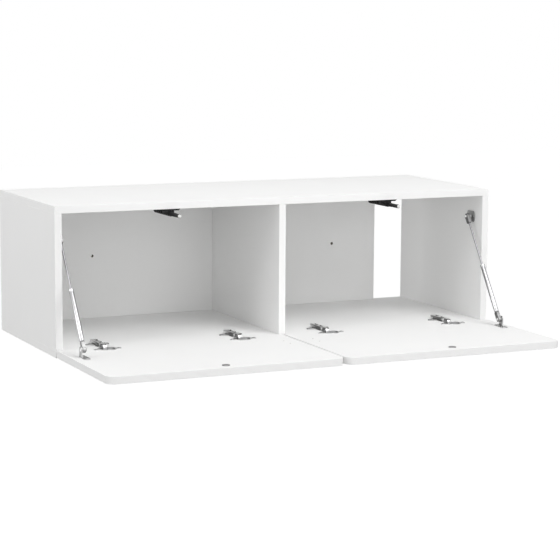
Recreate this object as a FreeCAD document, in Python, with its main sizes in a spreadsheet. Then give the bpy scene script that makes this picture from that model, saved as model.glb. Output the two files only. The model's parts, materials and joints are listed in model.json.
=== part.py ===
import FreeCAD, Part
import math
import os
import Sketcher
from FreeCAD import Placement, Rotation, Vector

# Wall-hung media console with two drop-down doors, drawn with both doors open.
# +X runs along the front, the wall is the plane Y = 0 and the front faces -Y, +Z is up.
# The origin is the midpoint of the two wall-fixing holes, in the wall plane.

SIZES = {
    # Carcass boards
    "cabinet_width": 1000,
    "cabinet_depth": 370,
    "cabinet_height": 306,
    "board_thickness": 15,
    "back_thickness": 12,
    "cable_gap_width": 78,
    "edge_rounding": 0.5,
    "wall_hole_spacing": 590,
    "wall_hole_diameter": 6,
    # Doors
    "door_thickness": 15,
    "door_reveal": 3,
    "door_centre_gap": 4,
    "door_closed_gap": 2.5,
    "door_corner_radius": 20,
    "pilot_diameter": 2.5,
    "pilot_depth": 9,
    "spare_hole_inset": 31.5,
    "spare_hole_spacing": 32,
    # Dowels, cam locks and long screws that join the boards
    "wood_fit": 0.05,
    "seat_fit": 0.01,
    "hole_end_gap": 0.5,
    "dowel_diameter": 8,
    "dowel_length": 30,
    "dowel_in_panel": 10,
    "dowel_edge_distance": 32,
    "back_dowel_diameter": 6,
    "back_dowel_edge_distance": 60,
    "fastener_edge_distance": 75,
    "cam_diameter": 15,
    "cam_length": 10.5,
    "cam_distance": 24,
    "cam_bolt_diameter": 6,
    "cam_bolt_in_panel": 9,
    "cam_cover_thickness": 1,
    "long_screw_head_diameter": 10,
    "long_screw_head_length": 3,
    "long_screw_shank_diameter": 7,
    "long_screw_thread_diameter": 5,
    "long_screw_length": 50,
    # Wood screws of the fittings
    "screw_diameter": 3.5,
    "screw_length": 12,
    "screw_head_diameter": 6.6,
    "screw_head_height": 1.2,
    "screw_recess_diameter": 1.6,
    "screw_recess_depth": 0.7,
    # Cup hinges
    "hinge_end_distance": 100,
    "pivot_inset": 6,
    "swing_clearance": 0.4,
    "pin_diameter": 2.4,
    "pin_running_fit": 0.05,
    "knuckle_wall": 1.2,
    "knuckle_width": 8,
    "leg_thickness": 3.6,
    "ear_gap": 0.3,
    "ear_width": 2.6,
    "ear_depth": 6,
    "cup_diameter": 35,
    "cup_wall": 0.7,
    "cup_clearance": 0.3,
    "cup_floor_gap": 0.9,
    "flange_thickness": 1.1,
    "flange_rim": 1.6,
    "wing_screw_spacing": 48,
    "wing_width": 11,
    "wing_offset": 4,
    "arm_clearance": 0.4,
    "arm_width": 14,
    "arm_wall": 1.2,
    "arm_height": 5.4,
    "arm_channel_start": 6,
    "arm_length": 60,
    "plate_base_thickness": 2,
    "plate_setback": 37,
    "plate_screw_spacing": 32,
    "plate_wing_width": 11,
    "plate_wing_end": 9.5,
    "plate_rib_start": 8,
    "plate_rib_length": 44,
    "plate_rib_fit": 0.2,
    "arm_screw_diameter": 4,
    "arm_screw_head_diameter": 7,
    "arm_screw_head_height": 1.6,
    "arm_screw_length": 5,
    "arm_screw_spacing": 24,
    # Gas struts
    "strut_inset": 10.5,
    "strut_pivot_setback": 46,
    "strut_pivot_drop": 64,
    "strut_door_reach": 86,
    "strut_door_rise": 23,
    "eye_diameter": 12,
    "eye_width": 7,
    "eye_gap": 0.3,
    "stud_diameter": 5,
    "stud_running_fit": 0.05,
    "stud_collar_diameter": 8,
    "stud_head_length": 1.6,
    "eye_floor": 1,
    "eye_cap_diameter": 8,
    "eye_cap_height": 1.8,
    "fitting_length": 17.5,
    "fitting_width": 10,
    "rod_diameter": 4,
    "rod_running_fit": 0.05,
    "rod_socket": 9,
    "rod_engagement": 9.5,
    "tube_diameter": 10,
    "tube_wall": 1,
    "tube_end_wall": 2,
    "tube_bump_gap": 1,
    "guide_length": 3.5,
    "piston_length": 3,
    "wall_bracket_width": 34,
    "wall_bracket_height": 24,
    "bracket_thickness": 2,
    "bracket_screw_spacing": 26,
    "wall_screw_spacing": 22,
    "door_bracket_length": 40,
    "door_bracket_width": 12,
    "door_bracket_lead": 8,
    "door_screw_inset": 5,
    "ear_collar_length": 1.2,
    "ear_plate_width": 14,
    # Push latches
    "latch_drop": 10,
    "latch_width": 14,
    "latch_floor": 1.2,
    "latch_length": 80,
    "latch_end_wall": 2,
    "latch_setback": 1,
    "latch_flange_width": 43,
    "latch_flange_length": 24,
    "latch_flange_thickness": 2,
    "latch_screw_spacing": 30,
    "latch_reach": 48,
    "plunger_diameter": 8.4,
    "plunger_running_fit": 0.05,
    "plunger_guidance": 17,
    "tip_diameter": 7,
    "tip_length": 3.5,
    "strike_diameter": 16,
    "strike_thickness": 1.6,
    "strike_clearance": 0.2,
    "strike_peg_diameter": 4,
    "strike_peg_length": 6,
    "spring_wire": 0.8,
    "spring_turns": 12,
    "spring_side_gap": 0.4,
}

# Sizes and places that follow from the ones above
FOLLOWING = {
    "half_width": "size.cabinet_width / 2",
    "top": "size.cabinet_height / 2",
    "underside": "-size.cabinet_height / 2",
    "front": "-size.cabinet_depth",
    "ceiling": "top - size.board_thickness",
    "floor": "underside + size.board_thickness",
    "inner_height": "ceiling - floor",
    "half_board": "size.board_thickness / 2",
    "side_inner_face": "half_width - size.board_thickness",
    "door_width": "half_width - size.door_centre_gap / 2",
    "door_height": "size.cabinet_height - 2 * size.door_reveal",
    "door_centre": "(half_width + size.door_centre_gap / 2) / 2",
    # The pivot stands as far forward as the door's inner corner needs to clear the carcass
    "pivot_forward": "(size.door_closed_gap ^ 2 + size.pivot_inset ^ 2 - size.swing_clearance ^ 2)"
                     " / (2 * (size.door_closed_gap - size.swing_clearance))",
    "pivot_y": "front - pivot_forward",
    "pivot_z": "underside + size.door_reveal + size.pivot_inset",
    "pin_depth": "pivot_forward - size.door_closed_gap",
    "door_face": "pivot_z + pin_depth",
    "door_back": "door_face - size.door_thickness",
    "door_rear": "pivot_y + size.pivot_inset",
    "door_front": "door_rear - door_height",
    "pin_radius": "size.pin_diameter / 2",
    "knuckle_radius": "pin_radius + size.knuckle_wall",
    "cup_radius": "size.cup_diameter / 2",
    "cup_bore": "cup_radius - size.cup_wall",
    # The knuckle's ends clear the round wall behind them
    "cup_y": "pivot_y + knuckle_radius + size.cup_clearance"
             " - sqrt(cup_bore ^ 2 - (size.knuckle_width / 2) ^ 2)",
    "cup_floor": "pivot_z - knuckle_radius - size.cup_floor_gap",
    "cup_base": "cup_floor - size.cup_wall",
    "flange_top": "door_face + size.flange_thickness",
    "wing_y": "cup_y - size.wing_offset",
    "arm_underside": "flange_top + size.arm_clearance",
    "arm_top": "arm_underside + size.arm_height",
    "arm_ceiling": "arm_top - size.arm_wall",
    "arm_start": "front + size.arm_channel_start",
    "arm_end": "front + size.arm_length",
    "plate_y": "front + size.plate_setback",
    "rib_start": "front + size.plate_rib_start",
    "rib_end": "rib_start + size.plate_rib_length",
    "rib_middle": "(rib_start + rib_end) / 2",
    "near_hinge": "size.door_centre_gap / 2 + size.hinge_end_distance",
    "far_hinge": "half_width - size.hinge_end_distance",
    "dowel_lower": "ceiling + size.dowel_in_panel - size.dowel_length",
    "dowel_near": "front + size.dowel_edge_distance",
    "dowel_far": "-size.dowel_edge_distance",
    "fastener_near": "front + size.fastener_edge_distance",
    "fastener_far": "-size.fastener_edge_distance",
    "cam_z": "ceiling - size.cam_distance",
    "strut_x": "side_inner_face - size.strut_inset",
    "strut_top_y": "front + size.strut_pivot_setback",
    "strut_top_z": "top - size.strut_pivot_drop",
    "strut_low_y": "pivot_y - size.strut_door_reach",
    "strut_low_z": "pivot_z + size.strut_door_rise",
    "strut_shut_y": "pivot_y + size.strut_door_rise",
    "strut_shut_z": "pivot_z + size.strut_door_reach",
    "strut_open_length": "sqrt((strut_top_y - strut_low_y) ^ 2 + (strut_top_z - strut_low_z) ^ 2)",
    "strut_shut_length": "sqrt((strut_top_y - strut_shut_y) ^ 2 + (strut_top_z - strut_shut_z) ^ 2)",
    "strut_lean": "180 deg - asin((strut_top_y - strut_low_y) / strut_open_length)",
    "tube_length": "strut_shut_length - 2 * size.fitting_length - size.tube_bump_gap",
    "tube_start": "strut_open_length - size.fitting_length - tube_length",
    "tube_end": "tube_start + tube_length",
    "rod_start": "size.fitting_length - size.rod_socket",
    "rod_end": "tube_start + size.rod_engagement",
    "bore_radius": "size.tube_diameter / 2 - size.tube_wall",
    "latch_z": "ceiling - size.latch_drop",
    "latch_front": "front + size.latch_setback",
    "latch_back": "latch_front + size.latch_length",
    "latch_bore": "size.plunger_diameter + 2 * size.plunger_running_fit",
    "latch_bottom": "latch_z - latch_bore / 2 - size.latch_floor",
    "latch_screw_y": "latch_front + size.latch_flange_length / 2",
    "plunger_front": "front - size.latch_reach",
    "plunger_back": "latch_front + size.plunger_guidance",
    "strike_y": "door_rear - (latch_z - underside - size.door_reveal)",
    "plunger_radius": "size.plunger_diameter / 2",
    "coil_radius": "latch_bore / 2 - size.spring_side_gap - size.spring_wire / 2",
    "coil_start": "plunger_back + size.spring_wire / 2",
    "coil_end": "latch_back - size.latch_end_wall - size.spring_wire / 2",
    "screw_hole": "size.screw_diameter + 2 * size.wood_fit",
    "screw_depth": "size.screw_length - size.screw_head_height + size.hole_end_gap",
    "upright_x": "half_width - half_board",
    "back_right_end": "side_inner_face - size.cable_gap_width",
    "eye_inner": "strut_x - size.eye_width / 2 - size.eye_gap",
    "eye_outer": "strut_x + size.eye_width / 2 + size.eye_gap",
    "ear_near": "eye_outer + size.ear_collar_length",
    "ear_far": "ear_near + size.bracket_thickness",
    "door_plate_near": "ear_far - size.door_bracket_width",
    "door_screw_x": "door_plate_near + size.door_screw_inset",
    "door_plate_y": "strut_low_y - size.door_bracket_lead",
}

os.makedirs("parts", exist_ok=True)
doc = FreeCAD.newDocument("media_console")
size = doc.addObject("Spreadsheet::Sheet", "size")
place = doc.addObject("Spreadsheet::Sheet", "place")
for row, (alias, value) in enumerate(SIZES.items(), 1):
    size.set(f"A{row}", alias)
    size.set(f"B{row}", str(value))
    size.setAlias(f"B{row}", alias)
for row, (alias, formula) in enumerate(FOLLOWING.items(), 1):
    place.set(f"A{row}", alias)
    place.set(f"B{row}", "=" + formula)
    place.setAlias(f"B{row}", alias)
doc.recompute()


def number(formula):
    """Value that a formula has now."""
    return float(place.evalExpression(formula))


def bind(item, formulas):
    for path, formula in formulas.items():
        item.setExpression(path, formula)


def put(item, x, y, z):
    """Ties the place of an object to three formulas."""
    bind(item, {"Placement.Base.x": x, "Placement.Base.y": y, "Placement.Base.z": z})
    return item


def on(side, value):
    """A place along X on the right (side 1), or its mirror image on the left (side -1)."""
    return value if side > 0 else f"-({value})"


def mirrored(side, low, high):
    """A span along X on the right, or its mirror image on the left."""
    return (on(side, low), on(side, high))[::side]


def about(middle, length):
    """A span of one length about a middle."""
    return (f"{middle} - ({length}) / 2", f"{middle} + ({length}) / 2")


# Plain solids, each between formulas for its lowest and highest coordinates

TURN_TO = {
    "x": Rotation(Vector(0, 1, 0), 90),
    "y": Rotation(Vector(1, 0, 0), -90),
    "z": Rotation(),
}


def block(name, x, y, z):
    item = doc.addObject("Part::Box", name)
    for length, span in zip(("Length", "Width", "Height"), (x, y, z)):
        item.setExpression(length, f"({span[1]}) - ({span[0]})")
    return put(item, x[0], y[0], z[0])


def bar(name, axis, diameter, x, y, z):
    """Round bar along an axis; the coordinate of that axis is a span, the others are its centre."""
    item = doc.addObject("Part::Cylinder", name)
    item.Placement = Placement(Vector(), TURN_TO[axis])
    spot = {"x": x, "y": y, "z": z}
    low, high = spot[axis]
    spot[axis] = low
    bind(item, {"Radius": f"({diameter}) / 2", "Height": f"({high}) - ({low})"})
    return put(item, spot["x"], spot["y"], spot["z"])


def rod(name, towards, level, near, far, diameter, spot):
    """Round bar between two depths from a level, counted towards +x, -x, +y, -y, +z or -z.

    The spot gives the other two coordinates in X, Y, Z order."""
    sign, axis = towards
    ends = (near, far) if sign == "+" else (far, near)
    span = tuple(f"{level} {sign} ({end})" for end in ends)
    where = dict(zip([letter for letter in "xyz" if letter != axis], spot))
    where[axis] = span
    return bar(name, axis, diameter, **where)


def fuse(name, *items):
    item = doc.addObject("Part::MultiFuse", name)
    item.Shapes = list(items)
    return item


def cut(name, base, *tools):
    item = doc.addObject("Part::Cut", name)
    item.Base = base
    item.Tool = tools[0] if len(tools) == 1 else fuse(name + "_voids", *tools)
    return item


def common(name, first, second):
    item = doc.addObject("Part::MultiCommon", name)
    item.Shapes = [first, second]
    return item


def group(name, items):
    """Separate solids that share one node."""
    item = doc.addObject("Part::Compound", name)
    item.Links = list(items)
    return item


NODES = []


def keep(item, label):
    """Names a finished piece and lists it for export."""
    item.Label = label
    NODES.append(item)
    return item


# Boards are PartDesign bodies: a sketched outline, a pad, rounded edges and drilled holes

def origin_plane(body, role):
    return next(feature for feature in body.Origin.OriginFeatures if feature.Role == role)


def flat_sketch(body, name, role):
    sketch = body.newObject("Sketcher::SketchObject", name)
    sketch.AttachmentSupport = (origin_plane(body, role), [""])
    sketch.MapMode = "FlatFace"
    return sketch


def constrain(sketch, formulas, kind, *geometry):
    """Adds one driving constraint whose value is a formula."""
    name = f"{kind}_{len(sketch.Constraints)}"
    index = sketch.addConstraint(Sketcher.Constraint(kind, *geometry, number(formulas)))
    sketch.renameConstraint(index, name)
    sketch.setExpression(f"Constraints.{name}", formulas)


def draw_rectangle(sketch, width, depth):
    """Rectangle with one corner on the sketch's origin."""
    right = number(width)
    back = number(depth)
    corners = [Vector(0, 0), Vector(right, 0), Vector(right, back), Vector(0, back)]
    for start, end in zip(corners, corners[1:] + corners[:1]):
        sketch.addGeometry(Part.LineSegment(start, end))
    for edge in range(4):
        sketch.addConstraint(Sketcher.Constraint("Coincident", edge, 2, (edge + 1) % 4, 1))
        direction = "Horizontal" if edge % 2 == 0 else "Vertical"
        sketch.addConstraint(Sketcher.Constraint(direction, edge))
    sketch.addConstraint(Sketcher.Constraint("Coincident", 0, 1, -1, 1))
    constrain(sketch, width, "DistanceX", 0, 1, 0, 2)
    constrain(sketch, depth, "DistanceY", 1, 1, 1, 2)


def draw_door_outline(sketch, width, depth, radius):
    """Rectangle whose two corners on the sketch's X axis, the free end, are rounded."""
    right = number(width)
    back = number(depth)
    bend = number(radius)
    sketch.addGeometry(Part.LineSegment(Vector(bend, 0), Vector(right - bend, 0)))
    right_arc = Part.Circle(Vector(right - bend, bend), Vector(0, 0, 1), bend)
    sketch.addGeometry(Part.ArcOfCircle(right_arc, -math.pi / 2, 0))
    sketch.addGeometry(Part.LineSegment(Vector(right, bend), Vector(right, back)))
    sketch.addGeometry(Part.LineSegment(Vector(right, back), Vector(0, back)))
    sketch.addGeometry(Part.LineSegment(Vector(0, back), Vector(0, bend)))
    left_arc = Part.Circle(Vector(bend, bend), Vector(0, 0, 1), bend)
    sketch.addGeometry(Part.ArcOfCircle(left_arc, math.pi, 3 * math.pi / 2))
    for joint in ((0, 2, 1, 1), (1, 2, 2, 1), (4, 2, 5, 1), (5, 2, 0, 1)):
        sketch.addConstraint(Sketcher.Constraint("Tangent", *joint))
    for joint in ((2, 2, 3, 1), (3, 2, 4, 1)):
        sketch.addConstraint(Sketcher.Constraint("Coincident", *joint))
    for edge in (0, 3):
        sketch.addConstraint(Sketcher.Constraint("Horizontal", edge))
    for edge in (2, 4):
        sketch.addConstraint(Sketcher.Constraint("Vertical", edge))
    sketch.addConstraint(Sketcher.Constraint("Equal", 1, 5))
    sketch.addConstraint(Sketcher.Constraint("PointOnObject", 3, 2, -2))
    sketch.addConstraint(Sketcher.Constraint("PointOnObject", 0, 1, -1))
    constrain(sketch, radius, "Radius", 1)
    constrain(sketch, width, "DistanceX", 3, 2, 3, 1)
    constrain(sketch, depth, "DistanceY", -1, 1, 3, 2)


class Board:
    """One panel between spans along X, Y and Z, with softened edges, ready for drilling."""

    def __init__(self, label, x, y, z, corner_radius=None):
        self.label = label
        self.corner = {"x": x[0], "y": y[0], "z": z[0]}
        width, depth, height = (f"({span[1]}) - ({span[0]})" for span in (x, y, z))
        self.body = doc.addObject("PartDesign::Body", label + "_body")
        outline = flat_sketch(self.body, label + "_outline", "XY_Plane")
        if corner_radius:
            draw_door_outline(outline, width, depth, corner_radius)
        else:
            draw_rectangle(outline, width, depth)
        pad = self.body.newObject("PartDesign::Pad", label + "_pad")
        pad.Profile = outline
        pad.setExpression("Length", height)
        doc.recompute()
        rounding = self.body.newObject("PartDesign::Fillet", label + "_edges")
        rounding.Base = (pad, ["Edge1"])
        rounding.UseAllEdges = True
        rounding.setExpression("Radius", "size.edge_rounding")
        put(self.body, x[0], y[0], z[0])
        doc.recompute()
        keep(self.body, label)

    def drill(self, name, towards, entry, diameter, depth, spots):
        """Sinks round holes from an entry level towards +x, -x, +y, -y, +z or -z.

        Each spot gives the other two coordinates in X, Y, Z order."""
        sign, axis = towards
        role, normal = {"x": ("YZ_Plane", 1), "y": ("XZ_Plane", -1), "z": ("XY_Plane", 1)}[axis]
        others = [letter for letter in "xyz" if letter != axis]
        sketch = flat_sketch(self.body, f"{self.label}_{name}_spots", role)
        level = f"{normal} * (({entry}) - ({self.corner[axis]}))"
        sketch.setExpression("AttachmentOffset.Base.z", level)
        for spot in spots:
            local = [f"({value}) - ({self.corner[letter]})" for value, letter in zip(spot, others)]
            centre = Vector(number(local[0]), number(local[1]), 0)
            hole = sketch.addGeometry(Part.Circle(centre, Vector(0, 0, 1), number(diameter) / 2))
            constrain(sketch, local[0], "DistanceX", -1, 1, hole, 3)
            constrain(sketch, local[1], "DistanceY", -1, 1, hole, 3)
            constrain(sketch, diameter, "Diameter", hole)
        volume = self.body.Shape.Volume
        pocket = self.body.newObject("PartDesign::Pocket", f"{self.label}_{name}")
        pocket.Profile = sketch
        pocket.setExpression("Length", depth)
        pocket.Reversed = (sign == "+") == (normal == 1)
        doc.recompute()
        full = len(spots) * math.pi / 4 * number(diameter) ** 2 * number(depth)
        removed = volume - self.body.Shape.Volume
        if not 0.5 * full < removed < 1.001 * full:
            raise RuntimeError(f"{name} in {self.label} removed {removed:.0f} of {full:.0f} mm3")


# Wood screws of the fittings, and the pilot holes that take them

def wood_screw(name, towards, seat, spot):
    """Pan-head screw whose head stands on a seat level."""
    top = "-size.screw_head_height"
    tip = "size.screw_length - size.screw_head_height"
    socket = "size.screw_recess_depth - size.screw_head_height"
    head = rod(name + "_head", towards, seat, top, "0", "size.screw_head_diameter", spot)
    thread = rod(name + "_thread", towards, seat, "0", tip, "size.screw_diameter", spot)
    recess = rod(name + "_recess", towards, seat, top, socket, "size.screw_recess_diameter", spot)
    return cut(name, fuse(name + "_blank", head, thread), recess)


def screw_row(x, y, spacing, along="x"):
    """Two spots on either side of a centre, along X or Y."""
    if along == "x":
        return [(f"{x} - {spacing} / 2", y), (f"{x} + {spacing} / 2", y)]
    return [(x, f"{y} - {spacing} / 2"), (x, f"{y} + {spacing} / 2")]


# Carcass

SIDES = {"left": -1, "right": 1}
HINGES = {"outer": "place.far_hinge", "inner": "place.near_hinge"}
HINGE_CENTRES = {
    f"{side_name}_{spot}": on(side, distance)
    for side_name, side in SIDES.items()
    for spot, distance in HINGES.items()
}

FULL_WIDTH = ("-place.half_width", "place.half_width")
FULL_DEPTH = ("place.front", "0")
BETWEEN = ("place.floor", "place.ceiling")
BACK_DEPTH = ("-size.back_thickness", "0")

top_panel = Board("top_panel", FULL_WIDTH, FULL_DEPTH, ("place.ceiling", "place.top"))
bottom_panel = Board("bottom_panel", FULL_WIDTH, FULL_DEPTH, ("place.underside", "place.floor"))
left_side = Board("left_side_panel", ("-place.half_width", "-place.side_inner_face"), FULL_DEPTH, BETWEEN)
right_side = Board("right_side_panel", ("place.side_inner_face", "place.half_width"), FULL_DEPTH, BETWEEN)
divider = Board("centre_divider", ("-place.half_board", "place.half_board"), FULL_DEPTH, BETWEEN)
left_back = Board("left_back_panel", ("-place.side_inner_face", "-place.half_board"), BACK_DEPTH, BETWEEN)
right_back = Board("right_back_panel", ("place.half_board", "place.back_right_end"), BACK_DEPTH, BETWEEN)

# Each upright: its board, its middle plane, and the face and direction its cams go in
UPRIGHTS = [
    (left_side, "-place.upright_x", "-place.side_inner_face", "-x"),
    (divider, "0", "place.half_board", "-x"),
    (right_side, "place.upright_x", "place.side_inner_face", "+x"),
]
UPRIGHT_CENTRES = [centre for _, centre, _, _ in UPRIGHTS]
JOINT_ENDS = [("top", "+z", "-z", "place.ceiling"), ("bottom", "-z", "+z", "place.floor")]
DOWEL_ROWS = ["place.dowel_near", "place.dowel_far"]
FASTENER_ROWS = ["place.fastener_near", "place.fastener_far"]
BACK_MIDDLE = "-size.back_thickness / 2"


def grid(centres, rows):
    return [(centre, row) for centre in centres for row in rows]


def dowel_joint(name, boards, diameter):
    """Dowels across the ends of boards, each given with its spots, and the holes for them."""
    hole = f"{diameter} + 2 * size.wood_fit"
    in_panel = "size.dowel_in_panel"
    in_board = "size.dowel_length - size.dowel_in_panel"
    pieces = []
    for end, up, down, level in JOINT_ENDS:
        panel = top_panel if end == "top" else bottom_panel
        spots = [spot for _, board_spots in boards for spot in board_spots]
        panel.drill(name + "_holes", up, level, hole, f"{in_panel} + size.hole_end_gap", spots)
        for board, board_spots in boards:
            depth = f"{in_board} + size.hole_end_gap"
            board.drill(f"{name}_holes_{end}", down, level, hole, depth, board_spots)
        for number_, spot in enumerate(spots):
            label = f"{name}_{end}_{number_}"
            pieces.append(rod(label, up, level, f"-({in_board})", in_panel, diameter, spot))
    return keep(group(name, pieces), name)


def cam_joints():
    """Cam bolts standing in the top panel, and the cams in the uprights that pull on them."""
    bolt_hole = "size.cam_bolt_diameter + 2 * size.wood_fit"
    cam_hole = "size.cam_diameter + 2 * size.wood_fit"
    cam_inner = "size.cam_cover_thickness + size.cam_length"
    bolts = []
    cams = []
    covers = []
    depth = "size.cam_bolt_in_panel + size.hole_end_gap"
    spots = grid(UPRIGHT_CENTRES, FASTENER_ROWS)
    top_panel.drill("cam_bolt_holes", "+z", "place.ceiling", bolt_hole, depth, spots)
    for board, centre, face, inwards in UPRIGHTS:
        bolt_spots = grid([centre], FASTENER_ROWS)
        cam_spots = [(row, "place.cam_z") for row in FASTENER_ROWS]
        board.drill("cam_bolt_holes", "-z", "place.ceiling", bolt_hole, "size.cam_distance", bolt_spots)
        board.drill("cam_holes", inwards, face, cam_hole, cam_inner, cam_spots)
        for row, bolt_spot, cam_spot in zip(("near", "far"), bolt_spots, cam_spots):
            name = f"{board.label}_{row}"
            bolt = rod(name + "_cam_bolt", "+z", "place.ceiling", "-size.cam_distance",
                       "size.cam_bolt_in_panel", "size.cam_bolt_diameter", bolt_spot)
            drum = rod(name + "_cam_drum", inwards, face, "size.cam_cover_thickness", cam_inner,
                       "size.cam_diameter", cam_spot)
            jaw = rod(name + "_cam_jaw", "+z", "place.cam_z", "-size.hole_end_gap",
                      "size.cam_diameter", bolt_hole, bolt_spot)
            cover = rod(name + "_cam_cover", inwards, face, "0", "size.cam_cover_thickness",
                        "size.cam_diameter", cam_spot)
            bolts.append(bolt)
            cams.append(cut(name + "_cam", drum, jaw))
            covers.append(cover)
    keep(group("cam_bolts", bolts), "cam_bolts")
    keep(group("cam_locks", cams), "cam_locks")
    keep(group("cam_covers", covers), "cam_covers")


def bottom_screws():
    """Long screws up through the bottom panel into the uprights, heads flush underneath."""
    head = "size.long_screw_head_diameter"
    shank = "size.long_screw_shank_diameter"
    thread = "size.long_screw_thread_diameter"
    head_length = "size.long_screw_head_length"
    board = "size.board_thickness"
    length = "size.long_screw_length"
    level = "place.underside"
    spots = grid(UPRIGHT_CENTRES, FASTENER_ROWS)
    bottom_panel.drill("head_holes", "+z", level, f"{head} + 2 * size.wood_fit", head_length, spots)
    bottom_panel.drill("shank_holes", "+z", level, f"{shank} + 2 * size.wood_fit", board, spots)
    depth = f"{length} - {board} + size.hole_end_gap"
    for upright, centre, _, _ in UPRIGHTS:
        upright.drill("thread_holes", "+z", "place.floor", f"{thread} + 2 * size.wood_fit", depth,
                      grid([centre], FASTENER_ROWS))
    screws = []
    for index, spot in enumerate(spots):
        name = f"long_screw_{index}"
        recess = rod(name + "_recess", "+z", level, "0", "size.screw_recess_depth",
                     "size.screw_recess_diameter", spot)
        blank = fuse(
            name + "_blank",
            rod(name + "_head", "+z", level, "0", head_length, head, spot),
            rod(name + "_shank", "+z", level, head_length, board, shank, spot),
            rod(name + "_thread", "+z", level, board, length, thread, spot),
        )
        screws.append(cut(name, blank, recess))
    keep(group("bottom_panel_screws", screws), "bottom_panel_screws")


def wall_holes():
    """One hole through each back panel for the screws into the wall."""
    for board, side in ((left_back, -1), (right_back, 1)):
        board.drill("wall_hole", "+y", "-size.back_thickness", "size.wall_hole_diameter",
                    "size.back_thickness", [(on(side, "size.wall_hole_spacing / 2"), "0")])


def back_spots(low, high):
    inset = "size.back_dowel_edge_distance"
    return [(f"{low} + {inset}", BACK_MIDDLE), (f"{high} - {inset}", BACK_MIDDLE)]


dowel_joint("panel_dowels", [(board, grid([centre], DOWEL_ROWS)) for board, centre, _, _ in UPRIGHTS],
            "size.dowel_diameter")
dowel_joint("back_panel_dowels", [
    (left_back, back_spots("-place.side_inner_face", "-place.half_board")),
    (right_back, back_spots("place.half_board", "place.back_right_end")),
], "size.back_dowel_diameter")
cam_joints()
bottom_screws()
wall_holes()


# Doors, drawn open: the inner face is up and the free edge is at the front

def door(name, side):
    board = Board(name, mirrored(side, "size.door_centre_gap / 2", "place.half_width"),
                  ("place.door_front", "place.door_rear"), ("place.door_back", "place.door_face"),
                  "size.door_corner_radius")
    hinges = [on(side, distance) for distance in HINGES.values()]
    face = "place.door_face"
    board.drill("cup_bores", "-z", face, "size.cup_diameter + 2 * size.wood_fit",
                "place.door_face - place.cup_base + size.hole_end_gap",
                [(hinge, "place.cup_y") for hinge in hinges])
    board.drill("cup_screw_holes", "-z", face, "place.screw_hole",
                "place.screw_depth - size.flange_thickness",
                [spot for hinge in hinges
                 for spot in screw_row(hinge, "place.wing_y", "size.wing_screw_spacing")])
    bracket = on(side, "place.door_screw_x")
    spare = on(side, "size.door_centre_gap / 2 + size.spare_hole_inset")
    board.drill("bracket_screw_holes", "-z", face, "place.screw_hole",
                "place.screw_depth - size.bracket_thickness",
                screw_row(bracket, "place.door_plate_y", "size.bracket_screw_spacing", "y"))
    board.drill("spare_pilot_holes", "-z", face, "size.pilot_diameter", "size.pilot_depth",
                screw_row(spare, "place.strut_low_y", "size.spare_hole_spacing", "y"))
    board.drill("strike_hole", "-z", face, "size.strike_peg_diameter + 2 * size.wood_fit",
                "size.strike_peg_length + size.hole_end_gap",
                [(on(side, "place.door_centre"), "place.strike_y")])
    return board


for side_name, side in SIDES.items():
    door(side_name + "_door", side)


# Cup hinges: the plate and arm stay on the cabinet, the cup turns with the door about the pin

def hinge_plate(name, x):
    rib_width = "size.arm_width - 2 * (size.arm_wall + size.plate_rib_fit)"
    top = "place.floor + size.plate_base_thickness"
    base = block(name + "_base", about(x, "size.plate_screw_spacing + 2 * size.plate_wing_end"),
                 about("place.plate_y", "size.plate_wing_width"), ("place.floor", top))
    rib = block(name + "_rib", about(x, rib_width), ("place.rib_start", "place.rib_end"),
                ("place.floor", "place.arm_ceiling"))
    holes = [
        rod(f"{name}_base_hole_{index}", "-z", top, "-1", "size.plate_base_thickness + 1",
            "place.screw_hole", spot)
        for index, spot in enumerate(screw_row(x, "place.plate_y", "size.plate_screw_spacing"))
    ]
    tapped = [
        rod(f"{name}_rib_hole_{index}", "-z", "place.arm_ceiling", "-1",
            "size.arm_screw_length - size.arm_wall + size.hole_end_gap",
            "size.arm_screw_diameter + 2 * size.wood_fit", spot)
        for index, spot in enumerate(screw_row(x, "place.rib_middle", "size.arm_screw_spacing", "y"))
    ]
    return keep(cut(name, fuse(name + "_blank", base, rib), *holes, *tapped), name)


def hinge_arm(name, x):
    narrow = about(x, "size.knuckle_width")
    height = ("place.arm_underside", "place.arm_top")
    leg_y = about("place.pivot_y", "size.leg_thickness")
    blank = fuse(
        name + "_blank",
        bar(name + "_knuckle", "x", "2 * place.knuckle_radius", narrow, "place.pivot_y", "place.pivot_z"),
        block(name + "_leg", narrow, leg_y, ("place.pivot_z", "place.arm_top")),
        block(name + "_neck", narrow, (leg_y[0], "place.arm_start + size.arm_wall"), height),
        block(name + "_channel", about(x, "size.arm_width"), ("place.arm_start", "place.arm_end"), height),
    )
    hollow = block(name + "_hollow", about(x, "size.arm_width - 2 * size.arm_wall"),
                   ("place.arm_start + size.arm_wall", "place.arm_end + 1"),
                   ("place.arm_underside - 1", "place.arm_ceiling"))
    pin_hole = bar(name + "_pin_hole", "x", "size.pin_diameter + 2 * size.pin_running_fit",
                   about(x, "size.knuckle_width + 2"), "place.pivot_y", "place.pivot_z")
    screw_holes = [
        rod(f"{name}_screw_hole_{index}", "-z", "place.arm_top", "-1", "size.arm_wall + 1",
            "size.arm_screw_diameter + 2 * size.wood_fit", spot)
        for index, spot in enumerate(screw_row(x, "place.rib_middle", "size.arm_screw_spacing", "y"))
    ]
    return keep(cut(name, blank, hollow, pin_hole, *screw_holes), name)


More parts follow.
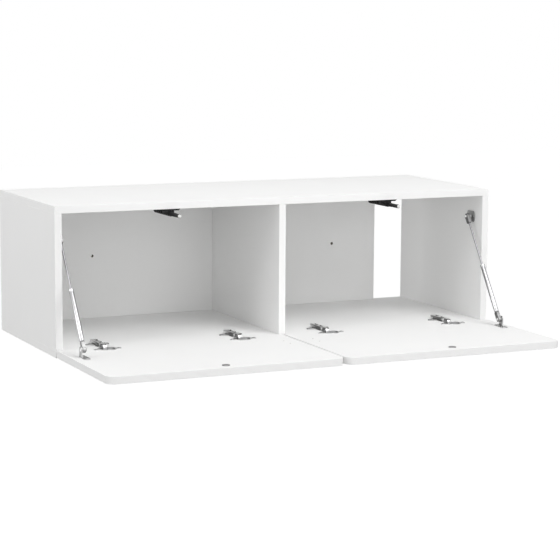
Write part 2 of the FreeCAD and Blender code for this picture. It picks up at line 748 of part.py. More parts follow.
def hinge_cup(name, x):
    above = "place.flange_top + 1"
    flange_z = ("place.door_face", "place.flange_top")
    ear_span = "size.knuckle_width + 2 * size.ear_gap"
    shell = bar(name + "_shell", "z", "size.cup_diameter", x, "place.cup_y",
                ("place.cup_base", "place.flange_top"))
    disc = bar(name + "_disc", "z", "size.cup_diameter + 2 * size.flange_rim", x, "place.cup_y", flange_z)
    wings = block(name + "_wings", about(x, "size.wing_screw_spacing"),
                  about("place.wing_y", "size.wing_width"), flange_z)
    screws = screw_row(x, "place.wing_y", "size.wing_screw_spacing")
    ends = [rod(f"{name}_wing_end_{index}", "-z", "place.flange_top", "0", "size.flange_thickness",
                "size.wing_width", spot) for index, spot in enumerate(screws)]
    hollow = bar(name + "_hollow", "z", "2 * place.cup_bore", x, "place.cup_y", ("place.cup_floor", above))
    rear = block(name + "_rear", about(x, "2 * size.cup_diameter"),
                 ("place.cup_y + place.cup_radius", "place.cup_y + size.cup_diameter"),
                 ("place.door_face - 1", above))
    shell_with_flange = cut(name + "_open_shell", fuse(name + "_blank", shell, disc, wings, *ends),
                            hollow, rear)
    slab = block(name + "_ear_slab", about(x, f"{ear_span} + 2 * size.ear_width"),
                 about("place.pivot_y", "size.ear_depth"), ("place.cup_base", "place.door_face"))
    slot = block(name + "_ear_slot", about(x, ear_span),
                 about("place.pivot_y", "size.ear_depth + 2"), ("place.cup_floor", above))
    ears = common(name + "_ears", cut(name + "_ear_blank", slab, slot), shell)
    pin_hole = bar(name + "_pin_hole", "x", "size.pin_diameter + 2 * size.seat_fit",
                   about(x, f"{ear_span} + 2 * (size.ear_width + size.hole_end_gap)"),
                   "place.pivot_y", "place.pivot_z")
    holes = [rod(f"{name}_hole_{index}", "-z", "place.flange_top", "-1", "size.flange_thickness + 1",
                 "place.screw_hole", spot) for index, spot in enumerate(screws)]
    cup = cut(name, fuse(name + "_body", shell_with_flange, ears), pin_hole, *holes)
    cup.Refine = False  # merging the faces where ears and shell meet fails
    return keep(cup, name)


def hinge_pin(name, x):
    length = "size.knuckle_width + 2 * (size.ear_gap + size.ear_width)"
    return bar(name, "x", "size.pin_diameter", about(x, length), "place.pivot_y", "place.pivot_z")


def arm_screw(name, spot):
    """Machine screw that clamps an arm to its plate."""
    level = "place.arm_top"
    top = "-size.arm_screw_head_height"
    head = rod(name + "_head", "-z", level, top, "0", "size.arm_screw_head_diameter", spot)
    thread = rod(name + "_thread", "-z", level, "0", "size.arm_screw_length",
                 "size.arm_screw_diameter", spot)
    recess = rod(name + "_recess", "-z", level, top, "size.screw_recess_depth - size.arm_screw_head_height",
                 "size.screw_recess_diameter", spot)
    return cut(name, fuse(name + "_blank", head, thread), recess)


cabinet_screws = []
door_screws = {"left": [], "right": []}
arm_screws = []
for hinge, x in HINGE_CENTRES.items():
    hinge_plate(hinge + "_hinge_plate", x)
    hinge_arm(hinge + "_hinge_arm", x)
    hinge_cup(hinge + "_hinge_cup", x)
    side_name = hinge.split("_")[0]
    for index, spot in enumerate(screw_row(x, "place.plate_y", "size.plate_screw_spacing")):
        seat = "place.floor + size.plate_base_thickness"
        cabinet_screws.append(wood_screw(f"{hinge}_plate_screw_{index}", "-z", seat, spot))
    for index, spot in enumerate(screw_row(x, "place.wing_y", "size.wing_screw_spacing")):
        door_screws[side_name].append(
            wood_screw(f"{hinge}_cup_screw_{index}", "-z", "place.flange_top", spot))
    for index, spot in enumerate(screw_row(x, "place.rib_middle", "size.arm_screw_spacing", "y")):
        arm_screws.append(arm_screw(f"{hinge}_arm_screw_{index}", spot))
bottom_panel.drill("hinge_screw_holes", "-z", "place.floor", "place.screw_hole",
                   "place.screw_depth - size.plate_base_thickness",
                   [spot for x in HINGE_CENTRES.values()
                    for spot in screw_row(x, "place.plate_y", "size.plate_screw_spacing")])
for side_name, side in SIDES.items():
    pins = [hinge_pin(f"{side_name}_{spot}_pin", on(side, distance)) for spot, distance in HINGES.items()]
    keep(group(side_name + "_hinge_pins", pins), side_name + "_hinge_pins")
keep(group("hinge_arm_screws", arm_screws), "hinge_arm_screws")


# Gas struts, drawn along Z from the upper pivot and then laid on their line

def lay_on_strut(item, side, label):
    item.Placement = Placement(Vector(), Rotation(Vector(1, 0, 0), 1))
    item.setExpression("Placement.Rotation.Angle", "place.strut_lean")
    put(item, on(side, "place.strut_x"), "place.strut_top_y", "place.strut_top_z")
    return keep(item, label)


def strut_rod_side(name, side):
    """Upper eye, rod and piston, which slide in the tube; the eye is capped on its inner side."""
    across = about("0", "size.eye_width")
    eye = bar(name + "_eye_ring", "x", "size.eye_diameter", across, "0", "0")
    neck = block(name + "_eye_neck", across, about("0", "size.fitting_width"), ("0", "size.fitting_length"))
    cap = bar(name + "_eye_cap", "x", "size.eye_cap_diameter",
              mirrored(-side, "size.eye_width / 2", "size.eye_width / 2 + size.eye_cap_height"), "0", "0")
    bore = bar(name + "_eye_bore", "x", "size.stud_diameter + 2 * size.stud_running_fit",
               mirrored(side, "size.eye_floor - size.eye_width / 2", "size.eye_width / 2 + 1"), "0", "0")
    socket = bar(name + "_rod_socket", "z", "size.rod_diameter + 2 * size.seat_fit", "0", "0",
                 ("place.rod_start", "size.fitting_length + 1"))
    upper_eye = cut(name + "_upper_eye", fuse(name + "_upper_eye_blank", eye, neck, cap), bore, socket)
    lay_on_strut(upper_eye, side, name + "_strut_upper_eye")
    shaft = bar(name + "_rod_shaft", "z", "size.rod_diameter", "0", "0",
                ("place.rod_start", "place.rod_end"))
    lay_on_strut(group(name + "_strut_rod", [shaft]), side, name + "_strut_rod")
    piston_z = ("place.rod_end - size.piston_length", "place.rod_end")
    disc = bar(name + "_piston_disc", "z", "2 * (place.bore_radius - size.rod_running_fit)",
               "0", "0", piston_z)
    seat = bar(name + "_piston_seat", "z", "size.rod_diameter + 2 * size.seat_fit", "0", "0",
               (piston_z[0] + " - 1", "place.rod_end + 1"))
    lay_on_strut(cut(name + "_strut_piston", disc, seat), side, name + "_strut_piston")


def strut_tube_side(name, side):
    """Tube, rod guide and lower eye, which swing about the stud on the door."""
    wall = bar(name + "_tube_wall", "z", "size.tube_diameter", "0", "0",
               ("place.tube_start", "place.tube_end"))
    bore = bar(name + "_tube_bore", "z", "2 * place.bore_radius", "0", "0",
               ("place.tube_start - 1", "place.tube_end - size.tube_end_wall"))
    lay_on_strut(cut(name + "_strut_tube", wall, bore), side, name + "_strut_tube")
    guide_z = ("place.tube_start", "place.tube_start + size.guide_length")
    plug = bar(name + "_guide_plug", "z", "2 * (place.bore_radius - size.seat_fit)", "0", "0", guide_z)
    hole = bar(name + "_guide_hole", "z", "size.rod_diameter + 2 * size.rod_running_fit", "0", "0",
               (guide_z[0] + " - 1", guide_z[1] + " + 1"))
    lay_on_strut(cut(name + "_strut_guide", plug, hole), side, name + "_strut_guide")
    low = "place.strut_open_length"
    ring = bar(name + "_low_ring", "x", "size.eye_diameter", about("0", "size.eye_width"), "0", low)
    neck = block(name + "_low_neck", about("0", "size.eye_width"), about("0", "size.fitting_width"),
                 ("place.tube_end", low))
    bore = bar(name + "_low_bore", "x", "size.stud_diameter + 2 * size.stud_running_fit",
               about("0", "size.eye_width + 2"), "0", low)
    eye = cut(name + "_lower_eye", fuse(name + "_lower_eye_blank", ring, neck), bore)
    lay_on_strut(eye, side, name + "_strut_lower_eye")


def wall_bracket(name, side):
    """Plate on the side panel whose collar faces the upper eye, just short of it."""
    y, z = "place.strut_top_y", "place.strut_top_z"
    plate_x = mirrored(side, "place.side_inner_face - size.bracket_thickness", "place.side_inner_face")
    blank = block(name + "_plate_blank", plate_x, about(y, "size.wall_bracket_width"),
                  about(z, "size.wall_bracket_height"))
    plate = common(name + "_plate", blank,
                   bar(name + "_plate_round", "x", "size.wall_bracket_width", plate_x, y, z))
    collar = bar(name + "_collar", "x", "size.stud_collar_diameter",
                 mirrored(side, "place.eye_outer", "place.side_inner_face"), y, z)
    spots = screw_row(y, z, "size.wall_screw_spacing")
    seat = on(side, "(place.side_inner_face - size.bracket_thickness)")
    outwards = "+x" if side > 0 else "-x"
    holes = [rod(f"{name}_hole_{index}", outwards, seat, "-1", "size.bracket_thickness + 1",
                 "place.screw_hole", spot) for index, spot in enumerate(spots)]
    keep(cut(name, fuse(name + "_blank", plate, collar), *holes), name)
    for index, spot in enumerate(spots):
        cabinet_screws.append(wood_screw(f"{name}_screw_{index}", outwards, seat, spot))
    panel = right_side if side > 0 else left_side
    panel.drill("bracket_screw_holes", outwards, on(side, "place.side_inner_face"), "place.screw_hole",
                "place.screw_depth - size.bracket_thickness", spots)


def door_bracket(name, side):
    """Angle on the door whose upright ear carries the stud of the lower eye."""
    y, z = "place.strut_low_y", "place.strut_low_z"
    plate_top = "place.door_face + size.bracket_thickness"
    ear_x = mirrored(side, "place.ear_near", "place.ear_far")
    foot = block(name + "_foot", mirrored(side, "place.door_plate_near", "place.ear_far"),
                 about("place.door_plate_y", "size.door_bracket_length"), ("place.door_face", plate_top))
    ear = block(name + "_ear", ear_x, about(y, "size.ear_plate_width"), ("place.door_face", z))
    ear_end = bar(name + "_ear_end", "x", "size.ear_plate_width", ear_x, y, z)
    collar = bar(name + "_collar", "x", "size.stud_collar_diameter",
                 mirrored(side, "place.eye_outer", "place.ear_far"), y, z)
    stud = bar(name + "_stud", "x", "size.stud_diameter",
               mirrored(side, "place.eye_inner", "place.ear_far"), y, z)
    head = bar(name + "_head", "x", "size.stud_collar_diameter",
               mirrored(side, "place.eye_inner - size.stud_head_length", "place.eye_inner"), y, z)
    spots = screw_row(on(side, "place.door_screw_x"), "place.door_plate_y",
                      "size.bracket_screw_spacing", "y")
    holes = [rod(f"{name}_hole_{index}", "-z", plate_top, "-1", "size.bracket_thickness + 1",
                 "place.screw_hole", spot) for index, spot in enumerate(spots)]
    keep(cut(name, fuse(name + "_blank", foot, ear, ear_end, collar, stud, head), *holes), name)
    for index, spot in enumerate(spots):
        door_screws["right" if side > 0 else "left"].append(
            wood_screw(f"{name}_screw_{index}", "-z", plate_top, spot))


for side_name, side in SIDES.items():
    wall_bracket(side_name + "_wall_bracket", side)
    strut_rod_side(side_name, side)
    strut_tube_side(side_name, side)
    door_bracket(side_name + "_door_bracket", side)


# Push latches under the top panel, and the discs on the doors that they push

def latch_housing(name, x):
    blank = fuse(
        name + "_blank",
        block(name + "_body", about(x, "size.latch_width"), ("place.latch_front", "place.latch_back"),
              ("place.latch_bottom", "place.ceiling")),
        block(name + "_flange", about(x, "size.latch_flange_width"),
              ("place.latch_front", "place.latch_front + size.latch_flange_length"),
              ("place.ceiling - size.latch_flange_thickness", "place.ceiling")),
    )
    bore = bar(name + "_bore", "y", "place.latch_bore", x,
               ("place.latch_front - 1", "place.latch_back - size.latch_end_wall"), "place.latch_z")
    seat = "(place.ceiling - size.latch_flange_thickness)"
    spots = screw_row(x, "place.latch_screw_y", "size.latch_screw_spacing")
    holes = [rod(f"{name}_hole_{index}", "+z", seat, "-1", "size.latch_flange_thickness + 1",
                 "place.screw_hole", spot) for index, spot in enumerate(spots)]
    keep(cut(name, blank, bore, *holes), name)
    for index, spot in enumerate(spots):
        cabinet_screws.append(wood_screw(f"{name}_screw_{index}", "+z", seat, spot))


def latch_plunger(name, x):
    """Plunger with its soft tip pegged into the front."""
    shoulder = "place.plunger_front + size.tip_length"
    peg_end = f"{shoulder} + size.strike_peg_length"
    body = bar(name + "_shank", "y", "size.plunger_diameter", x, (shoulder, "place.plunger_back"),
               "place.latch_z")
    socket = bar(name + "_socket", "y", "size.strike_peg_diameter + 2 * size.wood_fit", x,
                 (f"{shoulder} - 1", f"{peg_end} + size.hole_end_gap"), "place.latch_z")
    keep(cut(name + "_plunger", body, socket), name + "_plunger")
    cap = bar(name + "_cap", "y", "size.tip_diameter", x, ("place.plunger_front", shoulder),
              "place.latch_z")
    peg = bar(name + "_peg", "y", "size.strike_peg_diameter", x, ("place.plunger_front", peg_end),
              "place.latch_z")
    keep(fuse(name + "_tip", cap, peg), name + "_tip")


def latch_spring(name, x):
    """Coil between the plunger and the back wall of the housing, uncompressed."""
    coil = doc.addObject("Part::Helix", name + "_line")
    bind(coil, {
        "Radius": "place.coil_radius",
        "Height": "place.coil_end - place.coil_start",
        "Pitch": "(place.coil_end - place.coil_start) / size.spring_turns",
    })
    wire = doc.addObject("Part::Circle", name + "_wire")
    wire.Placement = Placement(Vector(), Rotation(Vector(1, 0, 0), 90))
    bind(wire, {"Radius": "size.spring_wire / 2", "Placement.Base.x": "place.coil_radius"})
    spring = doc.addObject("Part::Sweep", name)
    spring.Sections = [wire]
    spring.Spine = (coil, [])
    spring.Solid = True
    spring.Frenet = True
    spring.Placement = Placement(Vector(), TURN_TO["y"])
    return keep(put(spring, x, "place.coil_start", "place.latch_z"), name)


def strike_disc(name, x):
    top = "place.door_face + size.strike_thickness"
    spot = (x, "place.strike_y")
    peg_depth = "size.strike_thickness + size.strike_peg_length"
    disc = rod(name + "_plate", "-z", top, "0", "size.strike_thickness", "size.strike_diameter", spot)
    peg = rod(name + "_peg", "-z", top, "0", peg_depth, "size.strike_peg_diameter", spot)
    return keep(fuse(name, disc, peg), name)


for side_name, side in SIDES.items():
    x = on(side, "place.door_centre")
    latch_housing(side_name + "_latch_housing", x)
    latch_plunger(side_name + "_latch", x)
    latch_spring(side_name + "_latch_spring", x)
    strike_disc(side_name + "_strike_disc", x)
top_panel.drill("latch_screw_holes", "+z", "place.ceiling", "place.screw_hole",
                "place.screw_depth - size.latch_flange_thickness",
                [spot for side in SIDES.values()
                 for spot in screw_row(on(side, "place.door_centre"), "place.latch_screw_y",
                                       "size.latch_screw_spacing")])
keep(group("cabinet_screws", cabinet_screws), "cabinet_screws")
for side_name, screws in door_screws.items():
    keep(group(side_name + "_door_screws", screws), side_name + "_door_screws")


def export():
    """Checks every object and writes each node to its own file."""
    doc.recompute()
    failed = [item.Name for item in doc.Objects if {"Invalid", "Error"} & set(item.State)]
    if failed:
        raise RuntimeError("objects that failed: " + ", ".join(failed))
    for item in NODES:
        if item.Shape.isNull() or not item.Shape.isValid():
            raise RuntimeError(f"{item.Label} has no valid shape")
        item.Shape.exportStep(f"parts/{item.Label}.step")


export()
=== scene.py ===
import json
import math

import bmesh
import bpy
from mathutils import Euler, Matrix, Vector


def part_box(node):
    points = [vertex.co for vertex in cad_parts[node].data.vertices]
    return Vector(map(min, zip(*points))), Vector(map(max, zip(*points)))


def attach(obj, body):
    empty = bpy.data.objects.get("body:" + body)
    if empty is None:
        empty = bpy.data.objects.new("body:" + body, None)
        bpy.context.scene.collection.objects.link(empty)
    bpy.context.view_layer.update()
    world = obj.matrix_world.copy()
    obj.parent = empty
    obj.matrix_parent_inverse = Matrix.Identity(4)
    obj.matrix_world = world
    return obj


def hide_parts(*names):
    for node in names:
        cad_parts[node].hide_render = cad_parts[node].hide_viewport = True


# Wall-hung media console with two drop-down doors: finishes and detailed fittings for the CAD
# frame. Everything is in metres; sizes of fittings are written in millimetres times MM.

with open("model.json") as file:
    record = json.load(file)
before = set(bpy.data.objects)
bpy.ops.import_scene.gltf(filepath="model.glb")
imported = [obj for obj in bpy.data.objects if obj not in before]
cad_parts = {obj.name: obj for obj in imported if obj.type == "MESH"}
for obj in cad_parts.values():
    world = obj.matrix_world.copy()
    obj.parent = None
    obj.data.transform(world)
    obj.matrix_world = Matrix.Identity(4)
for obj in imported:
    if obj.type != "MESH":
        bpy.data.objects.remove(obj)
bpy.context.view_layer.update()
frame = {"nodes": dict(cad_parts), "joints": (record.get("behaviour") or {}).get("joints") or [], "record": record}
NODES = frame["nodes"]
JOINTS = {joint["name"]: joint for joint in frame["joints"]}
MM = 0.001
SIDES = {"left": -1, "right": 1}
HINGES = ["left_outer", "left_inner", "right_inner", "right_outer"]


def new_object(name, data):
    data.name = name
    item = bpy.data.objects.new(name, data)
    bpy.context.scene.collection.objects.link(item)
    return item


# ---- camera

# Lens and sensor are in millimetres, the turns in radians
FOCAL_LENGTH = 123.97
SENSOR = 36.0
CAMERA_SPOT = Vector((-1.70768, -4.00235, 0.55939))
CAMERA_YAW = 0.4382852
CAMERA_PITCH = 0.1438474
CAMERA_ROLL = 0.0065034
VIEW_DEPTH = 100.0


def add_camera():
    data = bpy.data.cameras.new("camera")
    data.lens = FOCAL_LENGTH
    data.sensor_width = SENSOR
    data.clip_end = VIEW_DEPTH
    camera = new_object("camera", data)
    turn = (Matrix.Rotation(-CAMERA_YAW, 4, "Z")
            @ Matrix.Rotation(math.pi / 2 - CAMERA_PITCH, 4, "X")
            @ Matrix.Rotation(CAMERA_ROLL, 4, "Z"))
    camera.matrix_world = Matrix.Translation(CAMERA_SPOT) @ turn
    bpy.context.scene.camera = camera


# ---- node tools

# Where a Mix node keeps its two colours, and where it gives the mixed one
FIRST_COLOUR, SECOND_COLOUR, MIXED_COLOUR = 6, 7, 2
WHITE = (1.0, 1.0, 1.0, 1.0)


def feed(tree, slot, value):
    """Links a Value or another node's socket to a slot, or sets the slot to anything else."""
    if isinstance(value, Value):
        value = value.socket
    if isinstance(value, bpy.types.NodeSocket):
        tree.links.new(value, slot)
    else:
        slot.default_value = value


class Value:
    """A number socket; arithmetic on it adds Math nodes to its tree."""

    def __init__(self, tree, socket):
        self.tree = tree
        self.socket = socket

    def calculate(self, operation, *numbers):
        node = self.tree.nodes.new("ShaderNodeMath")
        node.operation = operation
        for slot, number in zip(node.inputs, numbers):
            feed(self.tree, slot, number)
        return Value(self.tree, node.outputs[0])

    def __add__(self, other):
        return self.calculate("ADD", self, other)

    def __sub__(self, other):
        return self.calculate("SUBTRACT", self, other)

    def __rsub__(self, other):
        return self.calculate("SUBTRACT", other, self)

    def __mul__(self, other):
        return self.calculate("MULTIPLY", self, other)

    def __truediv__(self, other):
        return self.calculate("DIVIDE", self, other)

    def __pow__(self, other):
        return self.calculate("POWER", self, other)

    __radd__ = __add__
    __rmul__ = __mul__

    def below(self, limit):
        return self.calculate("LESS_THAN", self, limit)

    def above(self, limit):
        return self.calculate("GREATER_THAN", self, limit)

    def larger(self, other):
        return self.calculate("MAXIMUM", self, other)

    def clamped(self):
        return self.calculate("MINIMUM", self.larger(0.0), 1.0)


class Network:
    """A node tree in the making; its method node() adds any node to it."""

    def __init__(self, tree):
        self.tree = tree
        tree.nodes.clear()

    def node(self, kind, sockets=None, **settings):
        """Adds a node and returns its outputs. Its settings are set first, then the values or
        links of its sockets, by name or number; a list holds the links of one shared socket."""
        node = self.tree.nodes.new(kind)
        for name, setting in settings.items():
            setattr(node, name, setting)
        for name, value in (sockets or {}).items():
            for each in value if isinstance(value, list) else [value]:
                feed(self.tree, node.inputs[name], each)
        return node.outputs

    def seen(self):
        """1 for what is looked at, also in a mirror or through glass, and 0 for what lights."""
        path = self.node("ShaderNodeLightPath")
        camera, glossy, clear = [
            Value(self.tree, path[f"Is {ray} Ray"]) for ray in ("Camera", "Glossy", "Transmission")]
        return camera.larger(glossy).larger(clear)


class Finish(Network):
    """One material in the making, patterned on the object's own coordinates."""

    def __init__(self, name):
        self.material = bpy.data.materials.new(name)
        self.material.use_nodes = True
        super().__init__(self.material.node_tree)
        self.place = self.node("ShaderNodeTexCoord")["Object"]

    def noise(self, scale, detail=2.0, roughness=0.5, stretch=(1, 1, 1)):
        """Noise between 0 and 1, its scale in features per metre."""
        mapped = self.node("ShaderNodeMapping", {"Vector": self.place, "Scale": stretch})
        texture = self.node("ShaderNodeTexNoise", {
            "Vector": mapped["Vector"], "Scale": scale, "Detail": detail, "Roughness": roughness})
        return Value(self.tree, texture["Fac"])

    def axes(self):
        split = self.node("ShaderNodeSeparateXYZ", {"Vector": self.place})
        return [Value(self.tree, split[letter]) for letter in "XYZ"]

    def turned_away(self):
        """0 where the surface faces the eye, 1 where it is seen edge on."""
        weight = self.node("ShaderNodeLayerWeight", {"Blend": 0.5})
        return Value(self.tree, weight["Facing"])

    @staticmethod
    def discs(places):
        """1 inside any of several discs, each (offset, other offset, radius) in metres."""
        inside = None
        for offset, other, radius in places:
            mask = ((offset ** 2 + other ** 2) ** 0.5).below(radius)
            inside = mask if inside is None else inside.larger(mask)
        return inside

    def ramp(self, factor, *stops):
        """Grey that follows a factor through several (position, tone) stops."""
        colour = self.node("ShaderNodeValToRGB", {"Fac": factor})["Color"]
        elements = colour.node.color_ramp.elements
        while len(elements) < len(stops):
            elements.new(1.0)
        for element, (position, tone) in zip(elements, stops):
            element.position = position
            element.color = (tone, tone, tone, 1.0)
        return colour

    def blend(self, factor, first, second):
        """Colour between two colours, each a tuple or a socket."""
        first, second = [
            (*colour, 1.0) if isinstance(colour, tuple) else colour for colour in (first, second)]
        mix = self.node("ShaderNodeMix", {
            "Factor": factor, FIRST_COLOUR: first, SECOND_COLOUR: second}, data_type="RGBA")
        return mix[MIXED_COLOUR]

    def bump(self, height, depth):
        """Surface relief: the height runs from 0 to 1 over a real depth in metres."""
        return self.node("ShaderNodeBump", {"Height": height, "Distance": depth})["Normal"]

    def surface(self, **sockets):
        """Principled surface; fixed numbers go straight on its own sockets."""
        named = {name.replace("_", " "): value for name, value in sockets.items()}
        return self.end(self.node("ShaderNodeBsdfPrincipled", named))

    def end(self, shader):
        self.node("ShaderNodeOutputMaterial", {"Surface": shader[0]})
        return self.material


# ---- finishes

FOIL = ((0.885, 0.885, 0.880), (0.905, 0.905, 0.902))


def melamine(name="white_melamine", holes=(), bottom=-1.0):
    """White melamine foil on board: a fine orange peel and a faint cloudiness. Holes, given as
    (X, other axis, its value, radius), show raw chipboard above the height of their bottom."""
    finish = Finish(name)
    colour = finish.blend(finish.noise(9.0, 3.0), *FOIL)
    roughness = 0.50 + 0.10 * finish.noise(60.0, 3.0)
    relief = finish.noise(1100.0)
    if holes:
        chips = finish.noise(900.0, 4.0, 0.7)
        board = finish.blend(chips, (0.15, 0.13, 0.11), (0.36, 0.33, 0.29))
        x, y, z = finish.axes()
        inside = z.above(bottom) * finish.discs([
            (x - hole_x, {"y": y, "z": z}[axis] - other, radius)
            for hole_x, axis, other, radius in holes])
        colour = finish.blend(inside, colour, board)
        roughness = roughness + 0.35 * inside
        relief = relief + 8.0 * chips * inside
    return finish.surface(
        Base_Color=colour,
        Roughness=roughness,
        Normal=finish.bump(relief, 0.00002),
        Specular_IOR_Level=0.05,
    )


def plated_steel(name, face_on, slanted, glancing, roughness, heads=()):
    """Plated pressed steel with a painted reflection: its three tones, face on, slanted and at a glance, paint the
    reflection of a dark horizon into its colour. It is slightly clouded, with fine handling scratches; heads are
    (Y, Z, radius) of rivet heads along X that are polished and painted with a bright highlight."""
    finish = Finish(name)
    clouds = finish.noise(120.0, 4.0)
    scratches = finish.noise(700.0, 3.0, 0.6, (1.0, 0.12, 1.0))
    # Painted reflection: the colour turns from the face-on tone to the slanted and glancing tones as the surface
    # turns away from the eye.
    painted_reflection = finish.ramp(finish.turned_away(), (0.20, face_on), (0.40, slanted),
                          (0.62, slanted), (0.80, glancing))
    colour = finish.blend(0.2 * clouds, painted_reflection, (0.12, 0.12, 0.12))
    gloss = roughness + 0.14 * scratches + 0.08 * clouds
    if heads:
        _, y, z = finish.axes()
        # Painted highlight: the rivet heads are polished and their colour is painted near white for the bright
        # glint on them.
        polished_head_highlight = finish.discs([
            (y - head_y, z - head_z, radius) for head_y, head_z, radius in heads])
        colour = finish.blend(polished_head_highlight, colour, (0.95, 0.95, 0.95))
        gloss = gloss * (1.0 - 0.5 * polished_head_highlight)
    return finish.surface(
        Base_Color=colour,
        Metallic=1.0,
        Roughness=gloss,
        Normal=finish.bump(scratches, 0.000006),
    )


def polished_steel(name, face, edge, rim, roughness):
    """Ground and polished round steel with a painted reflection: its colour is bright where it faces the eye and
    painted dark along its rims, for the darker surroundings reflected there, with faint rings left by the
    grinding."""
    finish = Finish(name)
    rings = finish.noise(2600.0, 2.0, 0.5, (0.05, 0.05, 1.0))
    return finish.surface(
        # Painted reflection: the colour darkens from the face tone to the edge tone towards the rims.
        Base_Color=finish.blend(((finish.turned_away() - rim) / 0.2).clamped(), face, edge),
        Metallic=1.0,
        Roughness=roughness + 0.10 * rings,
        Normal=finish.bump(rings, 0.000003),
    )


def moulded_plastic(name, dark, light, roughness, shine):
    """Spark-textured moulded plastic."""
    finish = Finish(name)
    texture = finish.noise(2200.0, 3.0, 0.6)
    return finish.surface(
        Base_Color=finish.blend(finish.noise(60.0, 3.0), dark, light),
        Roughness=roughness + 0.12 * texture,
        Normal=finish.bump(texture, 0.00002),
        Specular_IOR_Level=shine,
    )


def beech():
    """Turned beech with its flecks and pores along the dowel."""
    finish = Finish("beech")
    fibres = finish.noise(500.0, 4.0, 0.6, (1.0, 1.0, 0.06))
    flecks = finish.noise(1400.0, 2.0, 0.5, (1.0, 1.0, 0.15)).above(0.62)
    pale = finish.blend(fibres, (0.56, 0.36, 0.20), (0.74, 0.54, 0.34))
    return finish.surface(
        Base_Color=finish.blend(flecks * 0.5, pale, (0.36, 0.20, 0.10)),
        Roughness=0.55 + 0.15 * fibres,
        Normal=finish.bump(fibres, 0.00004),
    )


def studio_floor():
    """Pale floor that keeps the object's shadow and shows white to the camera. From below it is
    clear, so that the underside of the object can be looked at."""
    finish = Finish("studio_floor")
    base = finish.node("ShaderNodeBsdfDiffuse", {
        "Color": finish.blend(finish.noise(2.0), (0.42, 0.42, 0.42), (0.44, 0.44, 0.44))})
    lift = finish.node("ShaderNodeEmission", {
        "Color": WHITE, "Strength": finish.seen() * FLOOR_LIFT})
    both = finish.node("ShaderNodeAddShader", {0: base["BSDF"], 1: lift["Emission"]})
    sides = finish.node("ShaderNodeMixShader", {
        0: finish.node("ShaderNodeNewGeometry")["Backfacing"],
        1: both[0], 2: finish.node("ShaderNodeBsdfTransparent")["BSDF"]})
    return finish.end(sides)


# ---- light and floor

FLOOR_LEVEL = -1.15
FLOOR_REACH = 15.0
FLOOR_LIFT = 0.83
AMBIENT = 0.40
# Name, place, aim, span and power of each soft box
LAMPS = [
    ("key", (1.2, -2.6, 2.2), (0.0, -0.3, 0.0), 1.6, 35.0),
    ("top", (0.2, -1.5, 2.4), (0.0, -0.45, 0.0), 1.8, 26.0),
    ("front", (0.6, -3.6, 0.5), (0.0, -0.3, 0.0), 1.5, 10.5),
    ("left", (-1.8, -3.2, 0.7), (0.3, -0.2, 0.0), 1.5, 12.0),
    ("side", (-3.0, -0.5, 0.9), (-0.3, -0.3, 0.0), 1.5, 28.0),
    ("rear", (-0.8, 2.5, 0.6), (0.2, 0.0, 0.0), 1.5, 20.0),
    ("low", (0.0, -3.4, -0.5), (0.0, -0.3, 0.0), 1.5, 5.0),
]


def add_world():
    """White surroundings: seen at full strength, lighting the object more softly."""
    world = bpy.data.worlds.new("studio")
    bpy.context.scene.world = world
    world.use_nodes = True
    sky = Network(world.node_tree)
    background = sky.node("ShaderNodeBackground", {
        "Color": WHITE, "Strength": AMBIENT + (1.0 - AMBIENT) * sky.seen()})
    sky.node("ShaderNodeOutputWorld", {"Surface": background[0]})


def add_lamp(name, spot, target, span, power):
    """Square soft box aimed at a point."""
    data = bpy.data.lights.new(name, "AREA")
    data.size = span
    data.energy = power
    aim = (Vector(target) - Vector(spot)).to_track_quat("-Z", "Y")
    new_object(name, data).matrix_world = Matrix.Translation(spot) @ aim.to_matrix().to_4x4()


def add_floor():
    mesh = bpy.data.meshes.new("studio_floor")
    mesh.from_pydata([(x * FLOOR_REACH, y * FLOOR_REACH, FLOOR_LEVEL)
                      for x, y in ((-1, -1), (1, -1), (1, 1), (-1, 1))], [], [(0, 1, 2, 3)])
    mesh.materials.append(studio_floor())
    floor = new_object("studio_floor", mesh)


# ---- mesh tools

# Edges below this angle are shaded smooth, and carved edges above the other one are softened
SMOOTH_BELOW = math.radians(32)
SOFTEN_ABOVE = math.radians(35)
# Turns a side outline upright: its first axis along Y, its second along Z, its thickness along X
SIDEWAYS = Matrix(((0, 0, 1, 0), (1, 0, 0, 0), (0, 1, 0, 0), (0, 0, 0, 1)))


def smoothed(mesh):
    mesh.polygons.foreach_set("use_smooth", [True] * len(mesh.polygons))
    mesh.set_sharp_from_angle(angle=SMOOTH_BELOW)
    mesh.update()
    return mesh


def finished_mesh(shape):
    """Turns a bmesh into a mesh that is smooth except across its sharp edges."""
    mesh = bpy.data.meshes.new("fitting")
    shape.to_mesh(mesh)
    shape.free()
    return smoothed(mesh)


def evaluated_mesh(item):
    """Plain mesh of what an object's modifiers make of it."""
    evaluated = item.evaluated_get(bpy.context.evaluated_depsgraph_get())
    return smoothed(bpy.data.meshes.new_from_object(evaluated))


def placed(shape, place):
    """Moves a new closed bmesh to its place and turns its faces outwards."""
    bmesh.ops.transform(shape, matrix=place, verts=shape.verts)
    bmesh.ops.recalc_face_normals(shape, faces=shape.faces)
    return shape


def block(low, high):
    """Closed box between two corners."""
    shape = bmesh.new()
    bmesh.ops.create_cube(shape, size=1.0)
    low, high = Vector(low), Vector(high)
    for vertex in shape.verts:
        vertex.co = Vector([low[i] + (vertex.co[i] + 0.5) * (high[i] - low[i]) for i in range(3)])
    return shape


